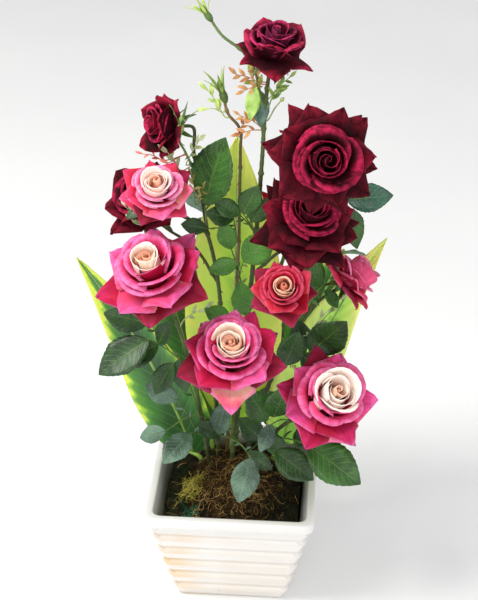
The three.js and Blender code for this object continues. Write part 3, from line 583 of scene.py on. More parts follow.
# Roses: petals die-cut from velvety polyester, heat-curled over a wire, and threaded on a stem: a tight
# spiral, a cup with rolled rims, then flared rings with pointed tips and sides curled back.
# Lengths are shares of the bloom's radius, leans and curls are degrees.
WRAPPED_SIZES = ("count", "root", "length", "leans", "arc", "spiral", "tip", "round")
WRAPPED = {
    "core": (2, (0.08, 0.22), 0.6, (82, 90, 97), 3.2, 0.5, 0, 0.08),
    "heart": (3, (0.13, 0.1), 0.72, (64, 88, 98), 1.7, 0.14, 20, 0.14),
    "bulb": (3, (0.16, 0.05), 0.77, (54, 87, 99), 1.5, 0.12, 30, 0.22),
    "inner_cup": (3, (0.16, 0.02), 0.84, (50, 82, 97), 1.35, 0.12, 58, 0.28),
    "cup": (4, (0.18, 0.0), 0.8, (45, 75, 84), 1.1, 0.08, 90, 0.3),
    "outer_cup": (5, (0.19, -0.02), 0.76, (40, 63, 65), 0.9, 0.08, 95, 0.34),
    "tight": (3, (0.15, 0.05), 0.76, (56, 86, 99), 1.5, 0.14, 30, 0.2),
    "inner_bowl": (3, (0.17, 0.02), 0.77, (50, 80, 92), 1.35, 0.16, 85, 0.26),
    "bowl": (3, (0.18, 0.0), 0.8, (48, 81, 89), 1.35, 0.12, 110, 0.26),
    "round_cup": (4, (0.19, 0.0), 0.95, (34, 84, 106), 1.2, 0.1, 34, 0.24),
    "outer_bowl": (4, (0.19, -0.03), 0.75, (46, 76, 80), 1.05, 0.09, 112, 0.3),
}
FLARED_SIZES = ("count", "root", "length", "leans", "half", "cup", "curl", "tip", "keen")
FLARED = {
    "raised": (5, (0.17, -0.02), 0.94, (34, 56, 36), 0.54, 0.5, 70, 26, 0.3),
    "upper": (5, (0.16, -0.02), 0.87, (56, 34, 8), 0.5, 0.3, 92, 34, 0.55),
    "middle": (5, (0.12, -0.04), 0.93, (38, 18, -4), 0.49, 0.2, 100, 28, 0.6),
    "broad": (5, (0.15, -0.03), 0.92, (50, 28, 0), 0.55, 0.3, 98, 34, 0.55),
    "spread": (5, (0.1, -0.06), 0.98, (26, 4, -20), 0.56, 0.15, 104, 20, 0.62),
    "lower": (6, (0.1, -0.06), 0.97, (20, 0, -22), 0.45, 0.1, 105, 16, 0.7),
}
RINGS = {ring: dict(zip(WRAPPED_SIZES, sizes)) for ring, sizes in WRAPPED.items()}
RINGS.update({ring: dict(zip(FLARED_SIZES, sizes)) for ring, sizes in FLARED.items()})
PINK_ROSE = ["core", "heart bulb", "inner_cup cup outer_cup", "broad spread"]
PALE_ROSE = ["core", "heart bulb inner_cup", "cup outer_cup", "broad spread"]
TURNED_ROSE = ["core", "heart bulb", "round_cup outer_cup", "upper spread"]
DARK_ROSE = ["core heart tight", "inner_bowl bowl outer_bowl", "upper middle lower"]
CUPPED_ROSE = ["core heart tight", "bowl outer_bowl", "raised middle"]
HIGH_ROSE = ["core tight", "inner_bowl bowl outer_cup", "raised lower"]
# Shares of the flare tones for the upper and lower rings: the lower rings get many of the darkest petals,
# painted shade on the petals that lie further under and behind, and the upper rings more of the pale ones.
UPPER_TONES, LOWER_TONES = [0.34, 0.92, 1.0], [0.48, 0.62, 0.66]
PETAL_ACROSS, PETAL_ALONG, SILK = 10, 10, 0.45
# Height of a wave, how fast it runs along and across, and how it grows across and along.
PETAL_WAVES = [(0.018, 7, 0, 1, 0), (0.01, 13, 3, 2, 0), (0.022, 4, 2.2, 0, 1)]
# How far lean, tip and length stray from petal to petal.
WRAPPED_STRAY, FLARED_STRAY = (4.0, 0.22, 0.035), (6.5, 0.5, 0.06)
HEART_EGG = [(0.05, 0.04), (0.12, 0.1), (0.17, 0.2), (0.18, 0.32), (0.17, 0.42), (0.12, 0.52),
             (0.045, 0.6), (0.035, 0.74), (0.01, 0.76)]


def soft_step(x, low, high):
    t = np.clip((x - low) / (high - low), 0, 1)
    return t * t * (3 - 2 * t)


def cloth_grid(rows, columns):
    return np.linspace(0, 1, rows + 1)[:, None], np.linspace(-1, 1, columns + 1)[None, :]


def climb(root, step, slopes):
    sums = [np.cumsum(way(slopes), axis=0) for way in (np.cos, np.sin)]
    return [start + step * np.concatenate([np.zeros((1, 1)), total]) for start, total in zip(root, sums)]


def petal_sheet(shape, draw):
    wrapped = "arc" in shape
    v, u = cloth_grid(PETAL_ALONG, PETAL_ACROSS)
    u = np.sign(u) * np.abs(u) ** 0.8
    lean_stray, tip_stray, length_stray = WRAPPED_STRAY if wrapped else FLARED_STRAY
    first, half_way, last = (lean + draw.normal(0, lean_stray) for lean in shape["leans"])
    lean = first * (1 - v) * (1 - 2 * v) + 4 * half_way * v * (1 - v) + last * v * (2 * v - 1)
    lean = np.radians(lean - shape["tip"] * (1 + draw.normal(0, tip_stray)) * soft_step(v, 0.7, 1.05))
    length = shape["length"] * (1 + draw.normal(0, length_stray))
    length = length * (1 - shape.get("round", 0) * np.abs(u) ** 2.6)
    out, rise = climb(shape["root"], length / PETAL_ALONG, (lean[1:] + lean[:-1]) / 2)
    wave = sum(high * np.sin(v * fast + u * slant + draw.uniform(0, 6)) * u ** outward * v ** upward
               for high, fast, slant, outward, upward in PETAL_WAVES)
    if wrapped:
        angle = u * shape["arc"] * (0.55 + 0.45 * soft_step(v, 0.0, 0.5))
        radius = out * (1 + shape["spiral"] * u) + wave + 0.03 * u ** 6 * v
        points = np.stack([radius * np.cos(angle), radius * np.sin(angle), rise], axis=2)
        points = points + draw.normal(0, 0.012, 3)
    else:
        late = np.clip((v - 0.48) / 0.52, 0, 1)
        pointed = (1 - shape["keen"]) * np.sqrt(1 - late ** 2 * 0.999) + shape["keen"] * (1 - late) ** 1.5
        half = shape["half"] * (0.35 + 0.65 * soft_step(v, 0.0, 0.55)) * pointed
        across, flat = np.abs(u) * half, 0.42 * half
        curl = np.radians(shape["curl"] * (1 + draw.normal(0, 0.16)))
        bow = (half - flat) / (curl * (0.35 + 0.65 * soft_step(v, 0.3, 0.85)))
        swept = np.maximum(across - flat, 0) / bow
        level = np.minimum(across, flat)
        side = np.sign(u) * (level + bow * np.sin(swept))
        lift = shape["cup"] * level ** 2 - bow * (1 - np.cos(swept)) + wave * soft_step(v, 0.3, 0.9)
        lift = lift - 0.03 * np.exp(-(u / 0.14) ** 2) * soft_step(v, 0.2, 0.8)
        lift = lift + draw.normal(0, 0.2) * side * v
        side = side + draw.normal(0, 0.07) * v ** 2
        points = np.stack([out - lift * np.sin(lean), side, rise + lift * np.cos(lean)], axis=2)
    rim = np.clip(np.maximum((np.abs(u) - 0.5) / 0.5 * soft_step(v, 0.2, 0.6), (v - 0.72) / 0.28), 0, 1)
    return points, v + 0 * u, u + 0 * v, rim


def closed_petal(points, along, across, thickness, rim=None):
    normal = np.cross(np.gradient(points, axis=0), np.gradient(points, axis=1))
    normal *= thickness / 2 / (np.linalg.norm(normal, axis=2, keepdims=True) + 1e-12)
    grid = np.arange(along.size).reshape(along.shape)
    front = np.stack([grid[:-1, :-1], grid[1:, :-1], grid[1:, 1:], grid[:-1, 1:]], axis=2).reshape(-1, 4)
    border = np.concatenate([grid[0], grid[1:, -1], grid[-1, -2::-1], grid[-2:0:-1, 0]])
    ahead = np.roll(border, -1)
    edges = np.stack([border, ahead, grid.size + ahead, grid.size + border], axis=1)
    faces = np.concatenate([front, grid.size + front[:, [0, 3, 2, 1]], edges]).tolist()
    rim = along * 0 if rim is None else rim
    along, across, rim = (np.tile(values.reshape(-1), 2) for values in (along, across, rim))
    fields = {"along": along, "rim": rim, "underside": np.repeat([0.0, 1.0], grid.size)}
    points = np.concatenate([(points + side * normal).reshape(-1, 3) for side in (1, -1)])
    return points, faces, fields, np.stack([(across + 1) / 2, along], axis=1)


def settled(points, centre, facing, turn, scale, spin=0.0):
    swing = Vector((0, 0, 1)).rotation_difference(Vector(facing).normalized()).to_matrix()
    angle = spin + math.radians(turn)
    c, s = math.cos(angle), math.sin(angle)
    spun = points @ np.array([[c, s, 0], [-s, c, 0], [0, 0, 1]])
    return (spun * scale @ np.array(swing).T + np.array(centre)) * MM


def rose_petals(name, built_of, tones, draw):
    centre, facing, diameter, turn = ROSES[name]
    radius = diameter / 2
    egg, egg_faces = tube([(0, 0, z) for _, z in HEART_EGG], [r for r, _ in HEART_EGG], 12)
    parts = [(settled(egg, centre, facing, turn, radius), egg_faces)]
    uvs, which = [np.full((len(egg), 2), 0.5)], [0] * len(egg_faces)
    fields = {"along": [egg[:, 2] * 0.5], "rim": [egg[:, 2] * 0], "underside": [egg[:, 2] * 0]}
    rings = [(place, ring) for place, names in enumerate(built_of) for ring in names.split()]
    for order, (place, ring) in enumerate(rings):
        shape = RINGS[ring]
        offset = draw.uniform(0, 2) if "arc" in shape else order * math.pi / 5
        for i in range(shape["count"]):
            sheet, along, across, rim = petal_sheet(shape, draw)
            angle = 2 * math.pi * i / shape["count"] + offset + draw.normal(0, 0.07)
            points, faces, values, uv = closed_petal(sheet, along, across, SILK / radius, rim)
            parts.append((settled(points, centre, facing, turn, radius, angle), faces))
            uvs.append(uv)
            shares = LOWER_TONES if ring in ("spread", "lower") else UPPER_TONES
            tone = int(np.searchsorted(shares, draw.random())) if ring in FLARED else 0
            which += [place + min(tone, tones - 1)] * len(faces)
            for field, value in values.items():
                fields[field].append(value)
    fields = {field: np.concatenate(values) for field, values in fields.items()}
    return parts, dict(fields=fields, uv=np.concatenate(uvs), materials=which)


def cloth_uv(tree):
    return put(tree, "ShaderNodeUVMap", uv_map="cloth_uv")("UV")


def read_field(tree, key):
    return put(tree, "ShaderNodeAttribute", attribute_name=key)("Fac")


PETAL_DYES = ["Root", "Middle", "Tip", "Back", "Rim", "Vein"]
petal_cloth, given = shared_effect("petal_cloth", PETAL_DYES, {
    "Middle At": 0.55, "Rim From": 0.45, "Rim Strength": 0.7, "Vein Strength": 0.25, "Crush": 0.5})
stretched = {"Vector": cloth_uv(petal_cloth), "Scale": (22.0, 1.6, 1.0)}
veins = spots(petal_cloth, 1.0, 3.0, put(petal_cloth, "ShaderNodeMapping", stretched)("Vector"))
waver = (spots(petal_cloth, 48.0) - 0.5) * 0.9
along = calc("ADD", read_field(petal_cloth, "along"), waver, True)
# The colour runs from Root through Middle to Tip along the petal: partly the petal's own run of dye and
# partly painted shade, as the dark roots stand for the shade deep between the petals.
lower_half = between(grade(along, 0.0, given("Middle At")), given("Root"), given("Middle"))
face = between(grade(along, given("Middle At"), 1.0), lower_half, given("Tip"))
# The Rim colour on the side edges and the end of the petal is partly the petal's own lighter edge and
# partly a painted highlight on the rolled rims.
edge = grade(read_field(petal_cloth, "rim") + waver, given("Rim From"), 1.0) * given("Rim Strength")
behind = between(grade(along, 0.0, 0.35), given("Root"), given("Back"))
face = between(read_field(petal_cloth, "underside"), between(edge, face, given("Rim")), behind)
blotch = (spots(petal_cloth, 170.0) - 0.5) * given("Crush")
vein = grade(veins + blotch, 0.35, 0.75) * given("Vein Strength")
put(petal_cloth, "NodeGroupOutput", {"Colour": between(vein, face, given("Vein")),
                                     "Height": veins * 0.7 + spots(petal_cloth, 1800.0, 1.0) * 0.3})


def silk(name, dyes, rough, sheen, tint, **numbers):
    values = {label.replace("_", " ").title(): value for label, value in numbers.items()}
    values.update(zip(PETAL_DYES, dyes.split()))
    extra = {"Sheen Weight": sheen, "Sheen Roughness": 0.4, "Sheen Tint": tint}
    return effect_finish(name, petal_cloth, values, rough, relief=0.0006, strength=0.45, specular=0.12,
                         extra=extra)


PILE = dict(rough=0.8, sheen=0.12, tint="#d81c58", vein_strength=0.6, crush=1.1, rim_strength=0.5)
NAP = dict(rough=0.55, sheen=0.03, tint="#ffc0e0")
SOFT_PARTS = {
    "core": dict(middle_at=0.6, rim_from=0.75, rim_strength=0.8, vein_strength=0.1),
    "heart": dict(middle_at=0.6, vein_strength=0.15),
    "cup": dict(middle_at=0.6, rim_from=0.55, vein_strength=0.4, crush=0.9),
    "flare": dict(middle_at=0.55, rim_from=0.6, rim_strength=0.6, vein_strength=0.45, crush=0.9),
    "flare_light": dict(middle_at=0.5, rim_from=0.45, rim_strength=0.7, vein_strength=0.4, crush=0.9),
    "flare_pale_root": dict(middle_at=0.97, rim_from=0.3, rim_strength=0.85, vein_strength=0.2, crush=0.6),
    "flare_deep": dict(middle_at=0.6),
}
# The darkest flare tone, crimson near black at the root, is painted shade on the lowest outer petals.
SHADED_FLARE = "#4c0610 #7c0c24 #9c1c40 #60081c #b83c68 #4c0610"


# Velvet petals: the near-black roots are painted shade deep in the bloom, and the lighter tip and rim
# colours are partly the cloth's own crimson and partly painted highlight where light catches the tips and
# rolled rims.
def velvet_silks(name, tip_with_highlight, rim, flare_tip, light_tip, back="#400714"):
    parts = [("heart", f"#0c0104 #5c0a20 {tip_with_highlight} {back} {rim} #120105", 0.8),
             ("cup", f"#060102 #3a0511 {tip_with_highlight} {back} {rim} #120105", 0.82),
             ("flare", f"#080102 #30050d {flare_tip} #400714 {flare_tip} #100104", 0.62),
             ("flare_light", f"#0e0104 #540a1a {light_tip} #560a1a {light_tip} #120105", 0.6)]
    return [silk(f"{name}_{part}", dyes, middle_at=middle, **PILE) for part, dyes, middle in parts]


# Soft petals: the darker roots of the core, heart and cup are partly the petal's own colour and partly
# painted shade between the wraps and deep in the cup; the paler rim colours are partly the petal's own
# edge and partly painted highlight on the rolled rims.
def soft_silks(name, core, heart, cup, flare, light):
    core = "{0} {1} {2} {1} {3} {0}".format(*core.split())
    heart = "{0} {1} {2} {2} {3} {0}".format(*heart.split())
    dyed = zip(SOFT_PARTS.items(), (core, heart, cup, flare, light, light, SHADED_FLARE))
    return [silk(f"{name}_{part}", dyes, **numbers, **NAP) for (part, numbers), dyes in dyed]


crimson_silks = velvet_silks("crimson_velvet", "#a4183c", "#cc2858", "#640a1e", "#7e1228")
dusty_silks = velvet_silks("dusty_crimson_velvet", "#b02450", "#d8407c", "#9c1834", "#b82c50", "#6c2040")
bright_silks = velvet_silks("bright_crimson_velvet", "#be1c48", "#dc3468", "#98142e", "#ba2444", "#780c28")
pink_silks = soft_silks(
    "pink", "#c06850 #f0b898 #fbe0c8 #d8705c",
    "#e0a088 #f8d8c0 #fcecdc #fdeee2",
    "#980828 #d42052 #ea508c #b01440 #f68cc6 #a8143c",
    "#9c1028 #b8143a #d22c68 #8a0e30 #ec68ac #8c0e34",
    "#f6e0bc #e2446c #ea5ca0 #a81840 #f684c2 #c02454")
pale_silks = soft_silks(
    "pale_hearted", "#d08c78 #f4ccb0 #fce8d4 #e0a08c",
    "#e8b8a8 #fae0d4 #fff2e8 #fff6ee",
    "#a01038 #d42858 #ec5c94 #b01c48 #f684ba #b02048",
    "#8c0c24 #b0123a #d0306c #7c0c28 #ea68a6 #780e28",
    "#f0c0a8 #d83460 #e85298 #a01438 #f47cb8 #b01c48")
blush_silks = soft_silks(
    "blush_hearted", "#d48068 #f6c4a4 #fde0c8 #e89880",
    "#ec9c88 #fad0bc #fde8dc #fcd4dc",
    "#c02448 #e45080 #f488b4 #c43060 #fab0d4 #c02850",
    "#b01830 #d02c44 #e04070 #9c1434 #f080b4 #a0142c",
    "#f4c8a8 #e45068 #ea6098 #b42044 #f690c4 #c82c50")
red_silks = soft_silks(
    "rose_red", "#b05840 #e8a084 #f4bc9c #c04838",
    "#d08068 #eca88c #f6c8ac #f8d0b8",
    "#780610 #a40c20 #c42442 #8c0c1c #e45a78 #7c0812",
    "#e87838 #a80c1c #b81838 #840c1c #dc4c6c #780814",
    "#f4a04c #c01c2c #d0304c #981020 #e87084 #980e1c")
warm_silks = soft_silks(
    "warm_pink", "#a84838 #eca890 #f8d0b8 #cc5c4c",
    "#d05070 #e87090 #f494b0 #f8b4c8",
    "#b82444 #e04c78 #f088ac #e45c88 #f49cbc #c02c54",
    "#e8705c #b81c38 #cc3054 #b82044 #e8688c #901030",
    "#f4a888 #cc2c4c #dc4870 #c02c50 #f084a8 #a81c3c")
ROSE_FINISH = {
    "rose_top": (HIGH_ROSE, dusty_silks), "rose_left_high": (CUPPED_ROSE, bright_silks),
    "rose_left_back": (CUPPED_ROSE, crimson_silks), "rose_left_mid": (PALE_ROSE, blush_silks),
    "rose_right_high": (DARK_ROSE, crimson_silks), "rose_right_low": (DARK_ROSE, crimson_silks),
    "rose_left_low": (PINK_ROSE, pink_silks), "rose_small": (PINK_ROSE, red_silks),
    "rose_side": (TURNED_ROSE, warm_silks), "rose_front": (PINK_ROSE, pink_silks),
    "rose_front_right": (PALE_ROSE, pale_silks), "rose_back_high": (DARK_ROSE, crimson_silks),
    "rose_back_left": (PINK_ROSE, pink_silks), "rose_back_mid": (PINK_ROSE, red_silks),
}
for order, (name, (built_of, silks)) in enumerate(ROSE_FINISH.items()):
    slot = "crimson_silk" if silks in (crimson_silks, bright_silks, dusty_silks) else "pink_silk"
    tones = len(silks) - len(built_of) + 1
    parts, looks = rose_petals(name, built_of, tones, np.random.default_rng(300 + order))
    hand_parts(name + "_petals", parts, silks, slot, name, **looks)


# Hips and sepals: each rose sits in a moulded green plastic cup with five long pointed sepals that hang
# back under the petals, pushed onto the end of its stem.
HIP = [(0.04, -0.3), (0.065, -0.29), (0.1, -0.22), (0.125, -0.15), (0.1, -0.1), (0.16, -0.04),
       (0.2, 0.02)]
SEPALS, SEPAL_WIDTH = 5, 0.17


def sepal_blade(length, root, lean, curl, draw):
    v, u = cloth_grid(8, 4)
    slope = lean - curl * v + draw.normal(0, 0.1)
    out, rise = climb(root, length / 8, slope[1:])
    side = u * SEPAL_WIDTH / 2 * (0.02 + np.sin(np.pi * v ** 0.62) ** 0.8 * (1 - 0.3 * v))
    lift = 0.35 * np.abs(side)
    return np.stack([out - lift * np.sin(slope), side, rise + lift * np.cos(slope)], axis=2)


def green_cup(profile, sides, centre, facing, turn, size):
    points, faces = tube([(0, 0, z) for _, z in profile], [r for r, _ in profile], sides)
    return settled(points, centre, facing, turn, size), faces


def sepal(sheet, thickness, centre, facing, turn, size, spin):
    grid = np.zeros(sheet.shape[:2])
    points, faces, _, _ = closed_petal(sheet, grid, grid, thickness / size)
    return settled(points, centre, facing, turn, size, spin), faces


def plastic_green(name, low, high, rough=0.45):
    return mottled_finish(name, low, high, patch=120.0, grain=900.0, relief=0.0005, rough=rough)


draw = np.random.default_rng(41)
parts = []
for centre, facing, diameter, turn in ROSES.values():
    seat = (centre, facing, turn, diameter / 2)
    parts.append(green_cup(HIP, 12, *seat))
    for i in range(SEPALS):
        blade = sepal_blade(0.62, (0.1, -0.11), -0.25, 0.9, draw)
        parts.append(sepal(blade, 0.5, *seat, 2 * math.pi * i / SEPALS + draw.normal(0, 0.1)))
hand_parts("rose_hips_and_sepals", parts, [plastic_green("hip_green", "#2c4420", "#6a8a40")], "bud")


# Buds: small closed heads of moulded olive plastic, each held in five slim green sepals that open past
# its tip.
BUD_HEAD = [(0.09, -0.62), (0.11, -0.58), (0.16, -0.48), (0.19, -0.36), (0.185, -0.2), (0.15, -0.08),
            (0.16, 0.1), (0.12, 0.3), (0.06, 0.44), (0.02, 0.5)]
BUD_GREENS = {
    "bud_top": ("#3c5422", "#5c7a34", "#8cae3c", "#c8dc74"),
    "bud_middle": ("#34481c", "#56702e", "#5c7c30", "#a0bc58"),
    "bud_left": ("#6c8c44", "#a0bc6c", "#3c5428", "#7c9850"),
}
for name, greens in BUD_GREENS.items():
    centre, facing, length = BUDS[name]
    seat = (centre, facing, 0, length)
    parts = [green_cup(BUD_HEAD, 14, *seat)]
    for i in range(SEPALS):
        blade = sepal_blade(draw.uniform(0.9, 1.35), (0.13, -0.12), 1.35, draw.uniform(0.3, 0.9), draw)
        parts.append(sepal(blade, 0.4, *seat, 2 * math.pi * i / SEPALS))
    which = [min(place, 1) for place, (_, faces) in enumerate(parts) for _ in faces]
    finishes = [plastic_green(name + "_hip", *greens[:2]), plastic_green(name + "_sepals", *greens[2:])]
    hand_parts(name + "_head", parts, finishes, "bud", name, materials=which)


# Broad leaves: long printed polyester blades on thick lime stalks, three of them green at the midrib and
# feathered out to a yellow margin, two lime all over. The stalks are pushed into the foam.
# Foot on the filling, top of the stalk, tip, bow, width, the way it faces.
BROAD_LEAVES = {
    "broad_leaf_left": ((-34, 24), (-46, 26, 108), (-134, 4, 322), (11, 2, -4), 62, (-0.1, -0.95, 0.2)),
    "broad_leaf_middle": ((-6, 40), (-4, 46, 130), (-1, 46, 420), (0, 4, 0), 88, (0, -1, 0.2)),
    "broad_leaf_right": ((34, 28), (46, 38, 118), (127, 30, 337), (-10, 10, -2), 54, (0.1, -0.95, 0.2)),
    "broad_leaf_back_left": ((-24, 46), (-30, 56, 118), (-84, 118, 262), (-6, 10, 26), 66,
                             (-0.3, 0.6, 0.6)),
    "broad_leaf_back_right": ((28, 46), (36, 56, 118), (92, 112, 280), (6, 10, 26), 66, (0.3, 0.6, 0.6)),
}
WIDEST = {"broad_leaf_middle": 0.42}
FOLD, BLADE, STALK = 0.16, 0.7, (2.3, 1.9)


def blade_sheet(root, tip, bow, face, width, widest, rows, columns, teeth, ruffle, quilt, veins):
    root, tip, face = np.array(root, float), np.array(tip, float), unit(face)
    control = (root + tip) / 2 + np.array(bow, float) * 2
    v, u = cloth_grid(rows, columns)
    spine = (1 - v) ** 2 * root + 2 * v * (1 - v) * control + v ** 2 * tip
    along = 2 * (1 - v) * (control - root) + 2 * v * (tip - control)
    along /= np.linalg.norm(along, axis=1, keepdims=True)
    normal = face - along * (along @ face)[:, None]
    normal /= np.linalg.norm(normal, axis=1, keepdims=True)
    side = np.cross(normal, along)
    outline = np.sin(np.pi * v ** (math.log(2) / -math.log(widest))) ** 0.85
    half = np.maximum(width / 2 * outline, 0.35)
    notch = 1 - teeth[1] * (1 - (v * teeth[0]) % 1.0) * soft_step(v, 0.05, 0.2) * np.abs(u) ** 6
    reach = u * half * notch
    sunk = np.cos(2 * np.pi * (v * veins - np.abs(u) * 0.55 * veins / 3))
    lift = FOLD * np.abs(reach) ** 1.15 * (half ** -0.15)
    lift = lift + quilt * sunk * np.sin(np.pi * np.abs(u)) * soft_step(v, 0.02, 0.15)
    lift = lift + ruffle * np.sin(v * 17 + np.sign(u) * 1.3) * np.abs(u) ** 3 * np.sin(np.pi * v)
    lift = lift - 0.5 * quilt * np.exp(-(u / 0.07) ** 2)
    points = spine[:, None] + side[:, None] * reach[:, :, None] + normal[:, None] * lift[:, :, None]
    return points, v + 0 * u, u + 0 * v


def midrib(points, reaches, thick, thin, count, sides):
    rows, columns, _ = points.shape
    wanted, steps = np.linspace(0, reaches, count), np.linspace(0, 1, rows)
    path = np.stack([np.interp(wanted, steps, line) for line in points[:, columns // 2].T], axis=1)
    return tube(path * MM, np.linspace(thick, thin, count) * MM, sides)


leaf_veins, given = shared_effect("leaf_veins", [], {"Veins": 13.0, "Slant": 2.4}, ["Away", "Stripe"])
over, up, _ = axes(leaf_veins, cloth_uv(leaf_veins))
away = calc("ABSOLUTE", (over - 0.5) * 2.0)
stripe = calc("ABSOLUTE", calc("FRACT", up * given("Veins") - away * given("Slant")) - 0.5)
put(leaf_veins, "NodeGroupOutput", {"Away": away, "Stripe": stripe})

TONES = ["Heart", "Inner", "Half Way", "Outer", "Margin"]
two_tone, given = shared_effect("two_tone_print", TONES + ["Vein", "Midrib"],
                                {"Feathering": 0.3, **{tone + " At": 0.5 for tone in TONES}})
pressed = use_effect(two_tone, leaf_veins, {"Veins": 13.0, "Slant": 2.4})
_, up, _ = axes(two_tone, cloth_uv(two_tone))
printed = (pressed("Stripe") - 0.25) * given("Feathering")
blurred = (spots(two_tone, 45.0, 4.0) - 0.5) * 0.34
# Toward the tip the print runs to the margin colour and toward the base to the heart green; the darker
# base is partly the leaf's own greener base and partly painted shade on the lower blade behind the
# flowers.
ends = grade(up, 0.6, 0.95) * 0.5 - grade(up, 0.3, 0.0) * 0.5
feather = pressed("Away") + printed + blurred + ends
field = given(TONES[0])
for inner, outer in zip(TONES, TONES[1:]):
    field = between(grade(feather, given(inner + " At"), given(outer + " At")), field, given(outer))
field = between(ramp(pressed("Stripe"), (0.0, 0.3), (0.06, 0.0)), field, given("Vein"))
put(two_tone, "NodeGroupOutput", {
    "Colour": between(ramp(pressed("Away"), (0.02, 0.8), (0.05, 0.0)), field, given("Midrib")),
    "Height": pressed("Stripe") + spots(two_tone, 900.0, 2.0) * 0.3})


def two_tone_finish(name, feathering, vein, *printed):
    values = {"Feathering": feathering, "Vein": vein, "Midrib": "#d8e8a0"}
    for tone, (place, code) in zip(TONES, printed):
        values[tone], values[tone + " At"] = code, place
    shine = {"Subsurface Weight": 0.15, "Subsurface Scale": 0.004, "Subsurface Radius": (1.0, 1.0, 0.6)}
    return effect_finish(name, two_tone, values, rough=0.42, relief=0.0006, extra=shine)


deep_leaf = two_tone_finish("green_hearted_leaf", 0.3, "#88b860", (0.2, "#275624"), (0.6, "#3a7a30"),
                            (0.8, "#569436"), (0.92, "#9ccc40"), (1.0, "#dcec50"))
lime_leaf = two_tone_finish("lime_leaf", 0.5, "#dcf49c", (0.06, "#98d84c"), (0.2, "#bcf864"),
                            (0.55, "#d6ff74"), (0.85, "#e6ff84"), (0.97, "#f4ff80"))
# The middle leaf's lime is pushed near its brightest: partly its own pale lime and partly painted light
# standing in for light shining through the thin leaf.
pale_lime_leaf = two_tone_finish("pale_lime_leaf", 0.5, "#e4fc98", (0.06, "#b4f448"), (0.2, "#ccff50"),
                                 (0.55, "#dcff5c"), (0.85, "#e8ff68"), (0.97, "#f4ff70"))
lime_stalk = mottled_finish("lime_stalk", "#6f9a34", "#a4cc58", patch=60.0, grain=500.0, relief=0.0005,
                            rough=0.45)
LIME_LEAVES = {"broad_leaf_middle": pale_lime_leaf, "broad_leaf_right": lime_leaf}
for name, (foot, neck, tip, bow, width, face_way) in BROAD_LEAVES.items():
    top = float(fill_height(*foot))
    stalk = evenly(bend_through([(*foot, top - 18), (*foot, top + 4), neck]), 22)
    points, along, across = blade_sheet(evenly(stalk, 7)[5], tip, bow, face_way, width,
                                        WIDEST.get(name, 0.3), rows=54, columns=14, teeth=(1, 0.0),
                                        ruffle=1.3, quilt=0.55, veins=13)
    leaf_points, leaf_faces, _, leaf_uv = closed_petal(points * MM, along, across, BLADE * MM)
    stems = [midrib(points, reaches=0.92, thick=1.5, thin=0.35, count=30, sides=8),
             tube(stalk * MM, np.linspace(*STALK, len(stalk)) * MM, 10)]
    stem_points, stem_faces = gather(stems)
    uv = np.concatenate([leaf_uv, np.full((len(stem_points), 2), 0.5)])
    hand_parts(name + "_blade", [(leaf_points, leaf_faces), (stem_points, stem_faces)],
               [LIME_LEAVES.get(name, deep_leaf), lime_stalk], "two_tone_leaf", name,
               uv=uv, materials=[0] * len(leaf_faces) + [1] * len(stem_faces))


# Rose leaves: printed polyester in greens with paler undersides, toothed edges and pressed veins, on
# thin wired twigs that leave the canes; each spray's tone is partly its own green and partly painted
# light. Each spray grows by the same rule as its solid.
LEAF_TRIES = (1, 0.88, 0.76, 0.64)
END_LEAF_AT, TWIG_ARCH, TWIG_STEPS, LEAF_SHEET = 96, 0.1, 4, 0.35
# Parent, pairs of side leaves, the way they face, and the root and tip of each end leaf.
SPRAYS = [
    ("cane_left_high", 0, None, [((-24, 0, 379), (-7, 4, 438))]),
    ("bough_right_high", 0, (0.1, -0.85, 0.5), [((94, 22, 375), (130, 16, 385))]),
    ("cane_left_low", 1, None, [((-72, -28, 264), (-112, -44, 236)), ((-73, -14, 272), (-109, -22, 284))]),
    ("cane_tall", 0, None, [((10, -6, 279), (5, -4, 310)), ((-4, -8, 273), (-24, -16, 289))]),
    ("cane_right", 1, None, [((67, -8, 245), (96, -20, 284)), ((44, -22, 238), (56, -26, 276))]),
    ("cane_low_right", 0, None, [((68, -56, 180), (113, -80, 160))]),
    ("cane_low_right", 0, None, [((39, -36, 158), (73, -58, 145))]),
    ("cane_front", 0, None, [((18, -40, 151), (8, -60, 118)), ((-16, 8, 141), (-9, 10, 175))]),
    ("cane_left_low", 1, None, [((-38, -18, 160), (-59, -46, 146)), ((-50, -16, 195), (-76, -20, 212))]),
    ("cane_left_low", 0, None, [((-47, -16, 240), (-40, -24, 208)), ((-52, -20, 236), (-67, -28, 207))]),
    ("cane_tall", 0, None, [((14, 2, 364), (29, -4, 391)), ((7, -2, 373), (20, -6, 401)),
                            ((4, 2, 370), (-17, 0, 383))]),
    ("cane_right", 0, None, [((75, -14, 315), (52, -22, 346)), ((78, -10, 308), (88, -14, 293))]),
    ("cane_tall", 0, None, [((-3, 0, 340), (-10, 2, 363)), ((3, -4, 328), (-21, -8, 321)),
                            ((8, -2, 328), (33, -10, 359))]),
    ("cane_bud", 0, None, [((-1, 6, 364), (-26, -8, 377)), ((-24, 4, 354), (-44, -2, 361))]),
    ("cane_right", 0, None, [((30, -12, 173), (12, -20, 210)), ((36, -16, 180), (46, -24, 220))]),
    ("cane_back", 2, None, [((18, 98, 236), (10, 126, 224)), ((-4, 88, 256), (-30, 106, 268))]),
    ("cane_back", 2, None, [((66, 84, 330), (100, 100, 336)), ((80, 62, 300), (112, 72, 296))]),
    ("bough_back_left", 2, None, [((-24, 88, 182), (-42, 112, 162)), ((8, 94, 168), (28, 118, 160))]),
    ("bough_back_mid", 2, None, [((-34, 82, 330), (-62, 88, 352)), ((-18, 70, 352), (-38, 64, 384))]),
]
LEAF_DYES = ["Low", "High", "Back", "Vein"]
